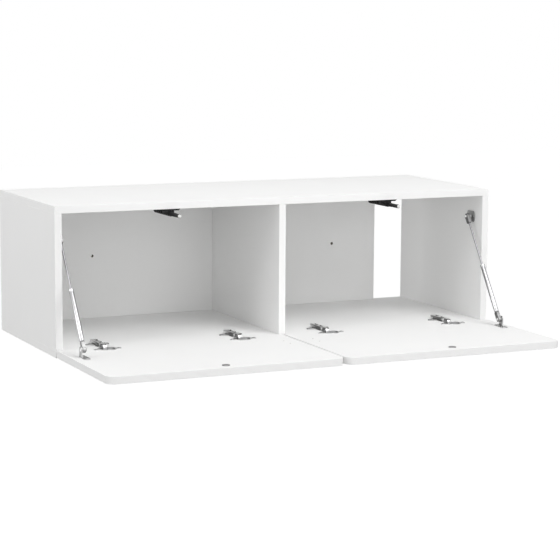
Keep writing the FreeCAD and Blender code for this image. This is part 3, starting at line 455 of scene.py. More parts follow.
def turned(profile, place=Matrix.Identity(4), segments=48):
    """Closed solid of revolution about the local Z axis of a place.

    The profile runs up the outside as (height, radius) pairs; a radius of 0 closes it on the axis,
    and a profile that starts and ends off the axis is closed round a bore."""
    shape = bmesh.new()
    rings = []
    for height, radius in profile:
        angles = [2 * math.pi * index / segments for index in range(segments if radius > 0 else 1)]
        rings.append([shape.verts.new((radius * math.cos(angle), radius * math.sin(angle), height))
                      for angle in angles])
    pairs = list(zip(rings, rings[1:]))
    if len(rings[0]) > 1:
        pairs.append((rings[-1], rings[0]))
    for low, high in pairs:
        for index in range(segments):
            following = (index + 1) % segments
            corners = [low[index % len(low)], low[following % len(low)],
                       high[following % len(high)], high[index % len(high)]]
            corners = list(dict.fromkeys(corners))
            if len(corners) > 2:
                shape.faces.new(corners)
    return placed(shape, place)


def cylinder(low, high, radius, place, segments=32):
    """Closed cylinder along the local Z axis of a place."""
    return turned([(low, 0), (low, radius), (high, radius), (high, 0)], place, segments)


def arc(x, y, radius, start, end, steps, radius_y=None):
    """Points along an arc round (x, y), from one angle in degrees to another; an oval one has
    its own radius in Y."""
    points = []
    for step in range(steps + 1):
        angle = math.radians(start + (end - start) * step / steps)
        points.append((x + radius * math.cos(angle), y + (radius_y or radius) * math.sin(angle)))
    return points


def add_ends(shape, rings):
    """Closes the first and the last of several rings of vertices."""
    shape.faces.new(list(reversed(rings[0])))
    shape.faces.new(rings[-1])


def add_walls(shape, rings):
    """Joins each ring of vertices to the next one."""
    for low, high in zip(rings, rings[1:]):
        for index in range(len(low)):
            following = (index + 1) % len(low)
            shape.faces.new([low[index], low[following], high[following], high[index]])


def slab(outline, low, high, place=Matrix.Identity(4)):
    """Closed prism over an outline in the local XY plane."""
    shape = bmesh.new()
    rings = [[shape.verts.new((x, y, z)) for x, y in outline] for z in (low, high)]
    add_ends(shape, rings)
    add_walls(shape, rings)
    return placed(shape, place)


def lofted(sections):
    """Closed solid through a row of outlines with the same number of points."""
    shape = bmesh.new()
    rings = [[shape.verts.new(point) for point in section] for section in sections]
    add_walls(shape, rings)
    add_ends(shape, rings)
    return placed(shape, Matrix.Identity(4))


def rounded_block(low, high, radius):
    """Closed box between two corners, with its four upright edges rounded."""
    left, front, right, rear = low[0] + radius, low[1] + radius, high[0] - radius, high[1] - radius
    corners = [(right, rear, 0), (left, rear, 90), (left, front, 180), (right, front, 270)]
    outline = [point for x, y, start in corners
               for point in arc(x, y, radius, start, start + 90, 8)]
    return slab(outline, low[2], high[2])


def carved(base, add, remove, soften):
    """One clean mesh from closed shapes: others are joined to the base and cut from it, and
    the edges that stay sharp are softened."""
    item = new_object("carving", finished_mesh(base))
    helpers = []
    for kind, shapes in (("UNION", add), ("DIFFERENCE", remove)):
        for shape in shapes:
            helper = new_object("tool", finished_mesh(shape))
            helpers.append(helper)
            step = item.modifiers.new(kind, "BOOLEAN")
            step.operation = kind
            step.solver = "EXACT"
            step.object = helper
    edge = item.modifiers.new("soften", "BEVEL")
    edge.width = soften
    edge.segments = 2
    edge.limit_method = "ANGLE"
    edge.angle_limit = SOFTEN_ABOVE
    mesh = evaluated_mesh(item)
    for gone in [item, *helpers]:
        bpy.data.objects.remove(gone)
    return mesh


def joined(meshes):
    """One mesh out of several, left as they are."""
    shape = bmesh.new()
    for mesh in meshes:
        shape.from_mesh(mesh)
    return finished_mesh(shape)


def along_x(x, y, z, side=1):
    """Place whose local Z axis runs along X, to the right (side 1) or the left (side -1)."""
    return Matrix.Translation((x, y, z)) @ Euler((0, side * math.pi / 2, 0)).to_matrix().to_4x4()


def along_y(x, y, z):
    """Place whose local Z axis runs along +Y."""
    return Matrix.Translation((x, y, z)) @ Euler((-math.pi / 2, 0, 0)).to_matrix().to_4x4()


# ---- what the frame says

def loose_boxes(node):
    """(lowest, highest) corner of each separate solid in a CAD node."""
    shape = bmesh.new()
    shape.from_mesh(NODES[node].data)
    bmesh.ops.remove_doubles(shape, verts=shape.verts, dist=1e-7)
    unseen = set(shape.verts)
    boxes = []
    while unseen:
        group = [unseen.pop()]
        for vertex in group:
            for edge in vertex.link_edges:
                other = edge.other_vert(vertex)
                if other in unseen:
                    unseen.remove(other)
                    group.append(other)
        boxes.append([Vector([end(vertex.co[i] for vertex in group) for i in range(3)])
                      for end in (min, max)])
    shape.free()
    boxes.sort(key=lambda box: (round(box[0].x, 5), round(box[0].y, 5)))
    return boxes


def middle(node):
    low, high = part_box(node)
    return (low + high) / 2


def half_width(node):
    """Half of a node's extent along X: the radius of a bar that lies square to X."""
    low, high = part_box(node)
    return (high.x - low.x) / 2


def end_x(node, side):
    """X of a node's right end (side 1) or its left end (side -1)."""
    low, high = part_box(node)
    return high.x if side > 0 else low.x


PIVOT = Vector(JOINTS["left_door_hinge"]["pos_m"])
HINGE_X = {name: middle(name + "_hinge_arm").x for name in HINGES}
DOOR_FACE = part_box("left_door")[1].z


# ---- repeating pieces

class Repeater(Network):
    """A Geometry Nodes tree in the making, with named size inputs."""

    def __init__(self, name):
        super().__init__(bpy.data.node_groups.new(name, "GeometryNodeTree"))
        for way in ("INPUT", "OUTPUT"):
            self.tree.interface.new_socket("Geometry", in_out=way, socket_type="NodeSocketGeometry")
        self.inputs = self.node("NodeGroupInput")

    def size(self, name, default):
        """Adds a named size input and returns its value."""
        socket = self.tree.interface.new_socket(name, in_out="INPUT", socket_type="NodeSocketFloat")
        socket.default_value = default
        return Value(self.tree, self.inputs[name])

    def moved(self, geometry, z):
        """Geometry moved along Z."""
        place = self.node("ShaderNodeCombineXYZ", {"Z": z})
        return self.node("GeometryNodeTransform", {
            "Geometry": geometry, "Translation": place[0]})[0]

    def join(self, *geometries):
        return self.node("GeometryNodeJoinGeometry", {0: list(reversed(geometries))})[0]

    def instanced(self, prototype):
        """The prototype on every point, its Z axis along the point's outward direction."""
        outward = self.node("GeometryNodeInputNamedAttribute", {
            "Name": "outward"}, data_type="FLOAT_VECTOR")
        aim = self.node("FunctionNodeAlignRotationToVector", {
            "Vector": outward["Attribute"]}, axis="Z")
        return self.node("GeometryNodeInstanceOnPoints", {
            "Points": self.inputs["Geometry"], "Instance": prototype, "Rotation": aim[0]})[0]

    def end(self, geometry, material):
        """Real geometry with its material, as the tree's result."""
        real = self.node("GeometryNodeRealizeInstances", {"Geometry": geometry})
        dressed = self.node("GeometryNodeSetMaterial", {
            "Geometry": real[0], "Material": material})
        self.node("NodeGroupOutput", {0: dressed[0]})
        return self.tree


def grown(name, seats, tree, sizes):
    """Runs a tree on seats, (place, outward direction) pairs, and keeps the plain mesh."""
    mesh = bpy.data.meshes.new(name)
    mesh.from_pydata([place for place, _ in seats], [], [])
    outward = mesh.attributes.new("outward", "FLOAT_VECTOR", "POINT")
    outward.data.foreach_set("vector", [number for _, direction in seats for number in direction])
    item = new_object(name, mesh)
    modifier = item.modifiers.new("grow", "NODES")
    modifier.node_group = tree
    for socket in tree.interface.items_tree:
        if socket.name in sizes:
            modifier[socket.identifier] = sizes[socket.name]
    result = evaluated_mesh(item)
    item.modifiers.remove(modifier)
    item.data = result
    return item


# In millimetres: the screws in the wood, and those that clamp the hinge arms to their plates
SCREW_SIZES = ("Head Diameter", "Head Height", "Shank Diameter", "Shank Length",
               "Recess Span", "Recess Width", "Recess Depth", "Thread Pitch")
WOOD_SCREW, CLAMP_SCREW = [
    {name: size * MM for name, size in zip(SCREW_SIZES, sizes)}
    for sizes in ((6.6, 1.2, 3.5, 10.8, 3.4, 0.9, 0.8, 1.4),
                  (7.0, 1.6, 4.0, 5.0, 4.2, 1.1, 1.1, 0.8))]


def screw_tree(material):
    """Pan-head screw with a cross recess: head above its seat, threaded shank below it."""
    repeater = Repeater("screws")
    node = repeater.node
    (head_diameter, head_height, shank_diameter, shank_length, recess_span, recess_width,
     recess_depth, thread_pitch) = [repeater.size(*size) for size in WOOD_SCREW.items()]

    radius = head_diameter * 0.5
    # The dome is stacked from a straight rim and narrowing rings, given as shares of the head
    layers = []
    for low, high, wide, narrow in (
        (0.0, 0.30, 1.0, 1.0), (0.30, 0.62, 1.0, 0.93),
        (0.62, 0.86, 0.93, 0.76), (0.86, 1.0, 0.76, 0.45),
    ):
        cone = node("GeometryNodeMeshCone", {
            "Vertices": 32, "Radius Bottom": radius * wide, "Radius Top": radius * narrow,
            "Depth": head_height * (high - low)})
        layers.append(repeater.moved(cone["Mesh"], head_height * low))
    head = node("GeometryNodeMeshBoolean", {
        "Mesh 2": list(reversed(layers))}, operation="UNION")
    size = node("ShaderNodeCombineXYZ", {
        "X": recess_span, "Y": recess_width, "Z": recess_depth * 2.0})
    arm = node("GeometryNodeMeshCube", {"Size": size[0]})
    arms = [repeater.moved(node("GeometryNodeTransform", {
        "Geometry": arm["Mesh"], "Rotation": (0.0, 0.0, turn)})[0], head_height)
        for turn in (0.0, math.pi / 2)]
    recess = node("GeometryNodeMeshBoolean", {
        "Mesh 1": head["Mesh"], "Mesh 2": arms}, operation="DIFFERENCE")

    shank_radius = shank_diameter * 0.36
    shank = node("GeometryNodeMeshCone", {
        "Vertices": 16, "Radius Top": shank_radius, "Radius Bottom": shank_radius * 0.7,
        "Depth": shank_length})
    shank_low = shank_length * -1.0
    spiral = node("GeometryNodeCurveSpiral", {
        "Resolution": 12, "Rotations": shank_length / thread_pitch * 0.9,
        "Start Radius": shank_diameter * 0.30, "End Radius": shank_diameter * 0.40,
        "Height": shank_length * 0.9})
    ridge = node("GeometryNodeCurvePrimitiveCircle", {
        "Resolution": 4, "Radius": shank_diameter * 0.10})
    thread = node("GeometryNodeCurveToMesh", {
        "Curve": spiral[0], "Profile Curve": ridge[0], "Fill Caps": True})
    screw = repeater.join(recess["Mesh"], repeater.moved(shank["Mesh"], shank_low),
                          repeater.moved(thread[0], shank_low))
    return repeater.end(repeater.instanced(screw), material)


def copies_tree(prototype, material):
    """One prepared fitting on every point, unturned."""
    repeater = Repeater(prototype.name + "_copies")
    scale = repeater.size("Scale", 1.0)
    source = repeater.node("GeometryNodeObjectInfo", {
        "Object": prototype, "As Instance": True})
    copies = repeater.node("GeometryNodeInstanceOnPoints", {
        "Points": repeater.inputs["Geometry"], "Instance": source["Geometry"], "Scale": scale})
    return repeater.end(copies[0], material)


def repeated(name, mesh, spots, material):
    """A prepared mesh repeated at several X positions, as one plain mesh."""
    prototype = new_object(name + "_pattern", mesh)
    seats = [((x, 0.0, 0.0), (0.0, 0.0, 1.0)) for x in spots]
    item = grown(name, seats, copies_tree(prototype, material), {"Scale": 1.0})
    bpy.data.objects.remove(prototype)
    return item


def stand_for(item, body, slot, *nodes):
    """Puts a piece on its body, in place of the CAD nodes it details."""
    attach(item, body)
    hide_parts(*nodes)


# Fittings whose finish isn't the plain one of their slot; their own finishes are copies of the plain one with
# other tones, painted lighter or darker for the light and shade on each part
OWN_FINISH = {"wall_bracket": "brackets", "door_bracket": "brackets", "strike": "strikes"}


def add_fittings(side, finishes, fittings):
    """Adds the fittings of one side, each (name, mesh, body, slot, CAD node)."""
    for name, mesh, body, slot, node in fittings:
        mesh.materials.clear()
        mesh.materials.append(finishes[OWN_FINISH.get(name, slot)])
        item = new_object(f"{side}_{name}_detailed", mesh)
        stand_for(item, side + body if body else "cabinet", slot, f"{side}_{node}")


# ---- screws

def screw_seats(node, head_height):
    """Seat and outward direction of each screw in a CAD node. The heads face the middle of the
    cabinet, from the side or from above or below."""
    seats = []
    for low, high in loose_boxes(node):
        spread = high - low
        axis = 0 if spread.x > spread.z else 2
        seat = (low + high) / 2
        side = math.copysign(1, seat[axis])
        seat[axis] = (low if side > 0 else high)[axis] + side * head_height
        outward = Vector((0, 0, 0))
        outward[axis] = -side
        seats.append((seat, outward))
    return seats


def add_screws(finishes):
    trees = {name: screw_tree(finishes[name]) for name in ("zinc_screws", "clamp_screws")}
    for node, body, sizes, finish in (
        ("cabinet_screws", "cabinet", WOOD_SCREW, "zinc_screws"),
        ("left_door_screws", "left_door", WOOD_SCREW, "zinc_screws"),
        ("right_door_screws", "right_door", WOOD_SCREW, "zinc_screws"),
        ("hinge_arm_screws", "cabinet", CLAMP_SCREW, "clamp_screws"),
    ):
        seats = screw_seats(node, sizes["Head Height"])
        item = grown(node + "_detailed", seats, trees[finish], sizes)
        stand_for(item, body, "zinc_screws", node)


# ---- hinges

LUG_RADIUS = 5.5 * MM
CUP_RADIUS = 17.5 * MM


def screw_wings(half_span, screw, low, high):
    """Strip across a hinge that ends in a round lug at each screw."""
    y = (screw[0].y + screw[1].y) / 2
    return rounded_block((-half_span, y - LUG_RADIUS, low), (half_span, y + LUG_RADIUS, high),
                         LUG_RADIUS - 0.01 * MM)


def hinge_plate_mesh():
    """Mounting plate at X = 0: a pressed cross with two screw wings and a raised saddle."""
    low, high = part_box("left_outer_hinge_plate")
    base_top = low.z + 2 * MM
    half = 5.6 * MM
    lip = 1.2 * MM
    screw = next(box for box in loose_boxes("cabinet_screws") if box[0].z < 0)
    base = screw_wings((high.x - low.x) / 2, screw, low.z, base_top)
    foot = rounded_block((-half - lip, low.y, low.z), (half + lip, high.y, base_top), 2 * MM)
    saddle = rounded_block((-half, low.y, low.z), (half, high.y, high.z), 1.5 * MM)
    groove = rounded_block((-1.6 * MM, low.y + 3 * MM, high.z - 0.8 * MM),
                           (1.6 * MM, high.y - 3 * MM, high.z + 1 * MM), 1.2 * MM)
    return carved(base, [foot, saddle], [groove], 0.25 * MM)


def channel_section(y, half, low, high, wall, corner):
    """Inverted U across X at one Y: outside over the top, then back along the inside."""
    inner = max(half - wall, 0.1 * MM)
    rounding = max(corner - wall, 0.2 * MM)
    ceiling = high - wall - rounding
    points = [
        (-half, low),
        *arc(corner - half, high - corner, corner, 180, 90, 6),
        *arc(half - corner, high - corner, corner, 90, 0, 6),
        (half, low), (inner, low),
        *arc(inner - rounding, ceiling, rounding, 0, 90, 4),
        *arc(rounding - inner, ceiling, rounding, 90, 180, 4),
        (-inner, low)]
    return [Vector((x, y, z)) for x, z in points]


def hinge_arm_mesh():
    """Arm at X = 0: a pressed channel that narrows to a neck, turns down and ends in a knuckle."""
    low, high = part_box("left_outer_hinge_arm")
    half = (high.x - low.x) / 2
    top = high.z
    underside = DOOR_FACE + 1.5 * MM
    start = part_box("top_panel")[0].y + 6 * MM
    wall = 1.2 * MM
    neck = 4 * MM
    corner = 1.8 * MM
    stations = (
        (high.y, half, corner), (start + 9 * MM, half, corner),
        (start + 5 * MM, half - 0.3 * MM, corner), (start + 2 * MM, half - 1.6 * MM, corner),
        (start, neck + 0.6 * MM, 1.6 * MM))
    channel = lofted([channel_section(y, width, underside, top, wall, rounding)
                      for y, width, rounding in stations])
    leg = 1.8 * MM
    knuckle = 2.4 * MM
    nose = 6 * MM
    throat = 2.2 * MM
    body = slab([
        (start + 3 * MM, underside), (start + 3 * MM, top),
        *arc(PIVOT.y - leg + nose, top - nose, nose, 90, 180, 8),
        *arc(PIVOT.y, PIVOT.z, knuckle, 180, 360, 12),
        *arc(PIVOT.y + leg + throat, underside - throat, throat, 180, 90, 6),
    ], -neck, neck, SIDEWAYS)
    pin_hole = cylinder(-6 * MM, 6 * MM, 1.25 * MM, along_x(0, PIVOT.y, PIVOT.z))
    boxes = loose_boxes("hinge_arm_screws")
    screws = sorted({round((box[0].y + box[1].y) / 2, 6) for box in boxes})
    slot = 2.3 * MM
    slots = [rounded_block((-slot, y - reach, underside - 1 * MM), (slot, y + reach, top + 1 * MM),
                           slot - 0.1 * MM) for y, reach in zip(screws, (4.6 * MM, 5.6 * MM))]
    return carved(channel, [body], [pin_hole, *slots], 0.2 * MM)


def hinge_cup_mesh():
    """Cup at X = 0: drawn bowl, flange with two screw wings, and the two ears that hold the pin."""
    low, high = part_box("left_outer_hinge_cup")
    rear, bottom, top = high.y, low.z, high.z
    sheet = 0.7 * MM
    corner = 2 * MM
    rim = 1.6 * MM
    floor = bottom + sheet
    bore = CUP_RADIUS - sheet
    centre = Matrix.Translation((0, rear - CUP_RADIUS, 0))
    bowl = turned([
        (bottom, 0), *arc(bottom + corner, CUP_RADIUS - corner, corner, 180, 90, 6),
        (DOOR_FACE, CUP_RADIUS), (DOOR_FACE, CUP_RADIUS + rim), (top - 0.3 * MM, CUP_RADIUS + rim),
        (top, CUP_RADIUS + rim - 0.3 * MM), (top, 0)], centre, 72)
    hollow = turned([
        (floor, 0), *arc(floor + corner, bore - corner, corner, 180, 90, 6),
        (top - 0.5 * MM, bore), (top + 0.2 * MM, bore + 0.5 * MM), (top + 0.2 * MM, 0)], centre, 72)
    screw = next(box for box in loose_boxes("left_door_screws") if box[0].y > PIVOT.y - 40 * MM)
    wings = screw_wings((high.x - low.x) / 2, screw, DOOR_FACE, top)
    rear_cut = block((-30 * MM, rear, DOOR_FACE - 1 * MM), (30 * MM, rear + 10 * MM, top + 1 * MM))
    shell = carved(bowl, [wings], [hollow, rear_cut], 0.15 * MM)
    foot = floor - 0.2 * MM
    ears = []
    for side in SIDES.values():
        outline = [(PIVOT.y - 3 * MM, foot), (PIVOT.y + 1.6 * MM, foot),
                   *arc(PIVOT.y - 0.7 * MM, PIVOT.z + 1.2 * MM, 2.3 * MM, 0, 180, 12, 2.4 * MM)]
        ear = slab(outline, *sorted((side * 4.3 * MM, side * 6.9 * MM)), SIDEWAYS)
        hole = cylinder(-8 * MM, 8 * MM, 1.21 * MM, along_x(0, PIVOT.y, PIVOT.z))
        ears.append(carved(ear, [], [hole], 0.2 * MM))
    return joined([shell, *ears])


def add_hinge_pieces(name, body, mesh, material, hinges, node):
    """One piece of each of several hinges, as one object on their body."""
    item = repeated(name, mesh, [HINGE_X[hinge] for hinge in hinges], material)
    stand_for(item, body, "nickel", *[f"{hinge}_{node}" for hinge in hinges])


def add_hinges(finishes):
    plates, arms, cups = [finishes[name] for name in ("plates", "nickel", "cups")]
    add_hinge_pieces("hinge_plates", "cabinet", hinge_plate_mesh(), plates, HINGES, "hinge_plate")
    add_hinge_pieces("hinge_arms", "cabinet", hinge_arm_mesh(), arms, HINGES, "hinge_arm")
    for side in SIDES:
        add_hinge_pieces(side + "_hinge_cups", side + "_door", hinge_cup_mesh(), cups,
                         [name for name in HINGES if name.startswith(side)], "hinge_cup")


# ---- struts

STRUT_FOOT = {side: Vector(JOINTS[side + "_strut_swing"]["pos_m"]) for side in SIDES}
STRUT_TOP = {side: middle(side + "_wall_bracket") for side in SIDES}
for side in SIDES:
    STRUT_TOP[side].x = STRUT_FOOT[side].x
STRUT = STRUT_FOOT["left"] - STRUT_TOP["left"]
STRUT_LINE, STRUT_LENGTH = STRUT.normalized(), STRUT.length
LEAN = math.atan2(-STRUT_LINE.y, STRUT_LINE.z)
EYE_HALF_WIDTH = 3.5 * MM
EYE_RADIUS = 6.0 * MM
EYE_BORE = 2.55 * MM
EYE_GAP = 0.3 * MM
BRACKET_FOOT_WIDTH = 12 * MM
BRACKET_SHEET = 2 * MM
COLLAR_RADIUS = 4 * MM
RIVET_RADIUS = 3.0 * MM
TURN_OVER = Matrix.Rotation(math.pi, 4, "X")


def strut_place(side, distance=0.0):
    """Place on the strut, its local Z axis running down the strut from the upper pivot."""
    start = STRUT_TOP[side] + STRUT_LINE * distance
    return Matrix.Translation(start) @ Matrix.Rotation(LEAN, 4, "X")


def strut_distances(side, node):
    """How far down the strut a CAD node starts and stops."""
    reach = [(Vector(vertex.co) - STRUT_TOP[side]).dot(STRUT_LINE)
             for vertex in NODES[f"{side}_{node}"].data.vertices]
    return min(reach), max(reach)


def eye_mesh(side, distance, neck_end, capped):
    """Strut end fitting: a forged eye round the stud, running out into a flat tab."""
    place = strut_place(side, distance)
    across = place @ along_x(0, 0, 0)
    half = EYE_HALF_WIDTH
    soft = 1.1 * MM
    eye = turned([
        (-half, 0), *arc(soft - half, EYE_RADIUS - soft, soft, 180, 90, 5),
        *arc(half - soft, EYE_RADIUS - soft, soft, 90, 0, 5), (half, 0)], across)
    reach = abs(neck_end)
    right = [(5.7 * MM, 0), (5.3 * MM, 5 * MM), (4.9 * MM, 7.5 * MM),
             (4.9 * MM, reach - 2.4 * MM), (4.2 * MM, reach - 0.7 * MM), (3.4 * MM, reach)]
    left = [(-x, y) for x, y in right]
    along = place if neck_end > 0 else place @ TURN_OVER
    neck = slab([left[0], *right, *left[:0:-1]], -half, half, along @ SIDEWAYS)
    if not capped:
        bore = cylinder(-5 * MM, 5 * MM, EYE_BORE, across)
        return carved(eye, [neck], [bore], 0.5 * MM)
    facing = across if side == "left" else across @ TURN_OVER
    head_radius = 3.2 * MM
    head_height = 2.6 * MM
    cap = turned([
        (half - 1 * MM, 0), (half - 1 * MM, head_radius),
        *arc(half, 0, head_height, 90, 0, 8, head_radius)[:-1], (half + head_height, 0)], facing)
    bore = cylinder(-5 * MM, 2.4 * MM, EYE_BORE, facing)
    return carved(eye, [neck, cap], [bore], 0.5 * MM)


def tube_mesh(side):
    """Strut tube: rolled in over the rod guide at the top, a gas-side crimp and a domed base."""
    start, end = strut_distances(side, "strut_tube")
    radius = half_width(side + "_strut_tube")
    bore = radius - 0.8 * MM
    groove = start + 5.5 * MM
    profile = [
        (start + 0.5 * MM, radius - 1.4 * MM), (start, radius - 1 * MM),
        (start + 0.15 * MM, radius - 0.4 * MM), (start + 0.7 * MM, radius),
        (groove - 0.9 * MM, radius), (groove - 0.4 * MM, radius - 0.25 * MM),
        (groove, radius - 0.32 * MM),
        (groove + 0.4 * MM, radius - 0.25 * MM), (groove + 0.9 * MM, radius),
        (end - 1.6 * MM, radius), (end - 0.7 * MM, radius - 0.25 * MM),
        (end - 0.15 * MM, radius - 0.9 * MM), (end, radius - 1.8 * MM), (end, 0.3 * MM),
        (end - 2 * MM, 0.3 * MM), (end - 2 * MM, bore),
        (start + 3.5 * MM, bore), (start + 1 * MM, bore), (start + 0.7 * MM, radius - 1.4 * MM)]
    return finished_mesh(turned(profile, strut_place(side), 56))


def rod_mesh(side):
    start, end = strut_distances(side, "strut_rod")
    radius = half_width(side + "_strut_rod")
    profile = [(start, 0), (start, radius - 0.3 * MM), (start + 0.3 * MM, radius),
               (end - 0.4 * MM, radius), (end, radius - 0.4 * MM), (end, 0)]
    return finished_mesh(turned(profile, strut_place(side), 40))


def wall_bracket_mesh(side):
    """Plate on the side panel with the turned collar that faces the upper eye."""
    low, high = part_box(side + "_wall_bracket")
    sign = SIDES[side]
    face = end_x(side + "_wall_bracket", sign)
    centre = STRUT_TOP[side]
    place = along_x(face, centre.y, centre.z, -sign)
    # The plate is a disc whose two sides are cut straight
    radius = (high.y - low.y) / 2
    lean = math.degrees(math.acos((high.z - low.z) / 2 / radius))
    outline = [point for start in (0, 180) for point in arc(
        0, 0, radius, start + lean, start + 180 - lean, 8)]
    plate = slab(outline, 0, BRACKET_SHEET, place)
    collar_end = abs(face - centre.x) - EYE_HALF_WIDTH - EYE_GAP
    collar = turned([
        (1 * MM, 0), (1 * MM, 5.2 * MM), (2.3 * MM, 5.0 * MM), (2.8 * MM, COLLAR_RADIUS),
        (collar_end - 0.3 * MM, COLLAR_RADIUS), (collar_end, COLLAR_RADIUS - 0.3 * MM),
        (collar_end, 0)], place)
    return carved(plate, [collar], [], 0.25 * MM)


def door_bracket_mesh(side):
    """Bent angle on the door: rounded foot, upright ear and the riveted stud of the lower eye."""
    low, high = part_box(side + "_door_bracket")
    sign = SIDES[side]
    outer = end_x(side + "_door_bracket", sign)
    stud = STRUT_FOOT[side]
    half = 7 * MM
    flare = 1.5 * MM
    foot_low, foot_high = sorted((outer, outer - sign * BRACKET_FOOT_WIDTH))
    foot = rounded_block((foot_low, low.y, low.z), (foot_high, high.y, low.z + BRACKET_SHEET),
                         3.5 * MM)
    shoulder = low.z + 4 * MM
    outline = [(stud.y - half - flare, low.z), (stud.y + half + flare, low.z),
               (stud.y + half, shoulder), *arc(stud.y, stud.z, half, 0, 180, 16),
               (stud.y - half, shoulder)]
    ear = slab(outline, *sorted((outer - sign * BRACKET_SHEET, outer)), SIDEWAYS)
    collar_end = abs(outer - stud.x) - EYE_HALF_WIDTH - EYE_GAP
    head_start = abs(outer - stud.x) + EYE_HALF_WIDTH + EYE_GAP
    head = head_start + 1.6 * MM
    shaft = turned([
        (0, 0), (0, 3.3 * MM), (1.8 * MM, COLLAR_RADIUS), (collar_end - 0.3 * MM, COLLAR_RADIUS),
        (collar_end, COLLAR_RADIUS - 0.3 * MM), (collar_end, 2.5 * MM), (head_start, 2.5 * MM),
        (head_start, 3.8 * MM), (head_start + 0.5 * MM, 4 * MM),
        (head_start + 0.9 * MM, 3.8 * MM), (head - 0.3 * MM, 3 * MM), (head, 1.6 * MM), (head, 0),
    ], along_x(outer, stud.y, stud.z, -sign))
    return carved(foot, [ear, shaft], [], 0.25 * MM)


def add_struts(finishes):
    for side in SIDES:
        upper_reach = strut_distances(side, "strut_upper_eye")[1]
        lower_reach = strut_distances(side, "strut_lower_eye")[0] - STRUT_LENGTH
        add_fittings(side, finishes, (
            ("upper_eye", eye_mesh(side, 0, upper_reach, True),
             "_strut_rod", "strut_fitting", "strut_upper_eye"),
            ("rod", rod_mesh(side), "_strut_rod", "piston_rod", "strut_rod"),
            ("tube", tube_mesh(side), "_strut_tube", "strut_tube", "strut_tube"),
            ("lower_eye", eye_mesh(side, STRUT_LENGTH, lower_reach, False),
             "_strut_tube", "strut_fitting", "strut_lower_eye"),
            ("wall_bracket", wall_bracket_mesh(side), None, "nickel", "wall_bracket"),
            ("door_bracket", door_bracket_mesh(side), "_door", "nickel", "door_bracket"),
        ))


# ---- latches

SPRING_PLAY = 0.4 * MM


def latch_housing_mesh(side):
    """Moulded latch housing: a round-bottomed barrel, waisted in four places on each side, under
    a flange with softened corners."""
    low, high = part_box(side + "_latch_housing")
    x = (low.x + high.x) / 2
    axis_z = middle(side + "_latch_plunger").z
    half = 7 * MM
    flange_end = low.y + 24 * MM
    flange = rounded_block((low.x, low.y, high.z - 2 * MM), (high.x, flange_end, high.z), 4 * MM)
    # The outline of the barrel stands across the cabinet and is pushed back along Y
    across = Matrix(((1, 0, 0, x), (0, 0, 1, 0), (0, 1, 0, 0), (0, 0, 0, 1)))
    outline = [(-half, high.z), *arc(0, axis_z, half, 180, 360, 16, axis_z - low.z), (half, high.z)]
    barrel = slab(outline, low.y, high.y, across)
    lip = block((low.x + 4 * MM, low.y, high.z - 3.4 * MM),
                (high.x - 4 * MM, low.y + 1.6 * MM, high.z))
    bore = cylinder(-1 * MM, high.y - low.y - 2 * MM, 4.25 * MM, along_y(x, low.y, axis_z), 48)
    waists = []
    for sign in SIDES.values():
        inner, outer = sorted((x + sign * 5.6 * MM, x + sign * 7.6 * MM))
        for index in range(4):
            start = flange_end + 6 * MM + index * 11 * MM
            waists.append(block((inner, start, low.z - 1 * MM),
                                (outer, start + 7 * MM, high.z - 2 * MM)))
    return carved(flange, [barrel, lip], [bore, *waists], 0.3 * MM)


def plunger_mesh(side):
    """Long plunger with a collar behind its tip and a slimmer waist along it."""
    low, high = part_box(side + "_latch_plunger")
    length = high.y - low.y
    full = 4.2 * MM
    waist = 4.0 * MM
    profile = [(0, 0), (0, full - 0.5 * MM), (0.5 * MM, full), (4 * MM, full), (4.6 * MM, waist),
               (30 * MM, waist), (30.6 * MM, full), (length - 0.5 * MM, full),
               (length, full - 0.5 * MM), (length, 0)]
    return latch_turning(side + "_latch_plunger", profile)


def tip_mesh(side):
    """Soft white tip with a domed face and a peg in the plunger."""
    low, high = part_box(side + "_latch_tip")
    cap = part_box(side + "_latch_plunger")[0].y - low.y
    length = high.y - low.y
    profile = [(0, 0), (0.05 * MM, 1.6 * MM), (0.35 * MM, 2.6 * MM), (1 * MM, 3.3 * MM),
               (1.8 * MM, 3.5 * MM), (cap, 3.5 * MM), (cap, 2 * MM), (length, 2 * MM), (length, 0)]
    return latch_turning(side + "_latch_tip", profile)


def latch_turning(node, profile):
    """Turned piece on the axis of a latch, from the front of its CAD node backwards."""
    centre = middle(node)
    return finished_mesh(turned(profile, along_y(centre.x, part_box(node)[0].y, centre.z)))


def strike_mesh(side):
    """Strike disc: chamfered rim and a shallow dish in the middle, with its peg in the door."""
    low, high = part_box(side + "_strike_disc")
    centre = (low + high) / 2
    radius = (high.x - low.x) / 2
    peg = 2 * MM
    bottom = low.z - DOOR_FACE
    top = high.z - DOOR_FACE
    profile = [(bottom, 0), (bottom, peg - 0.4 * MM), (bottom + 0.5 * MM, peg), (0, peg),
               (0, radius - 0.2 * MM), (0.2 * MM, radius), (top - 0.6 * MM, radius),
               (top - 0.15 * MM, radius - 0.5 * MM), (top, radius - 1 * MM),
               (top, radius - 2.4 * MM), (top - 0.35 * MM, radius - 3.2 * MM), (top - 0.5 * MM, 0)]
    place = Matrix.Translation((centre.x, centre.y, DOOR_FACE))
    return finished_mesh(turned(profile, place, 64))


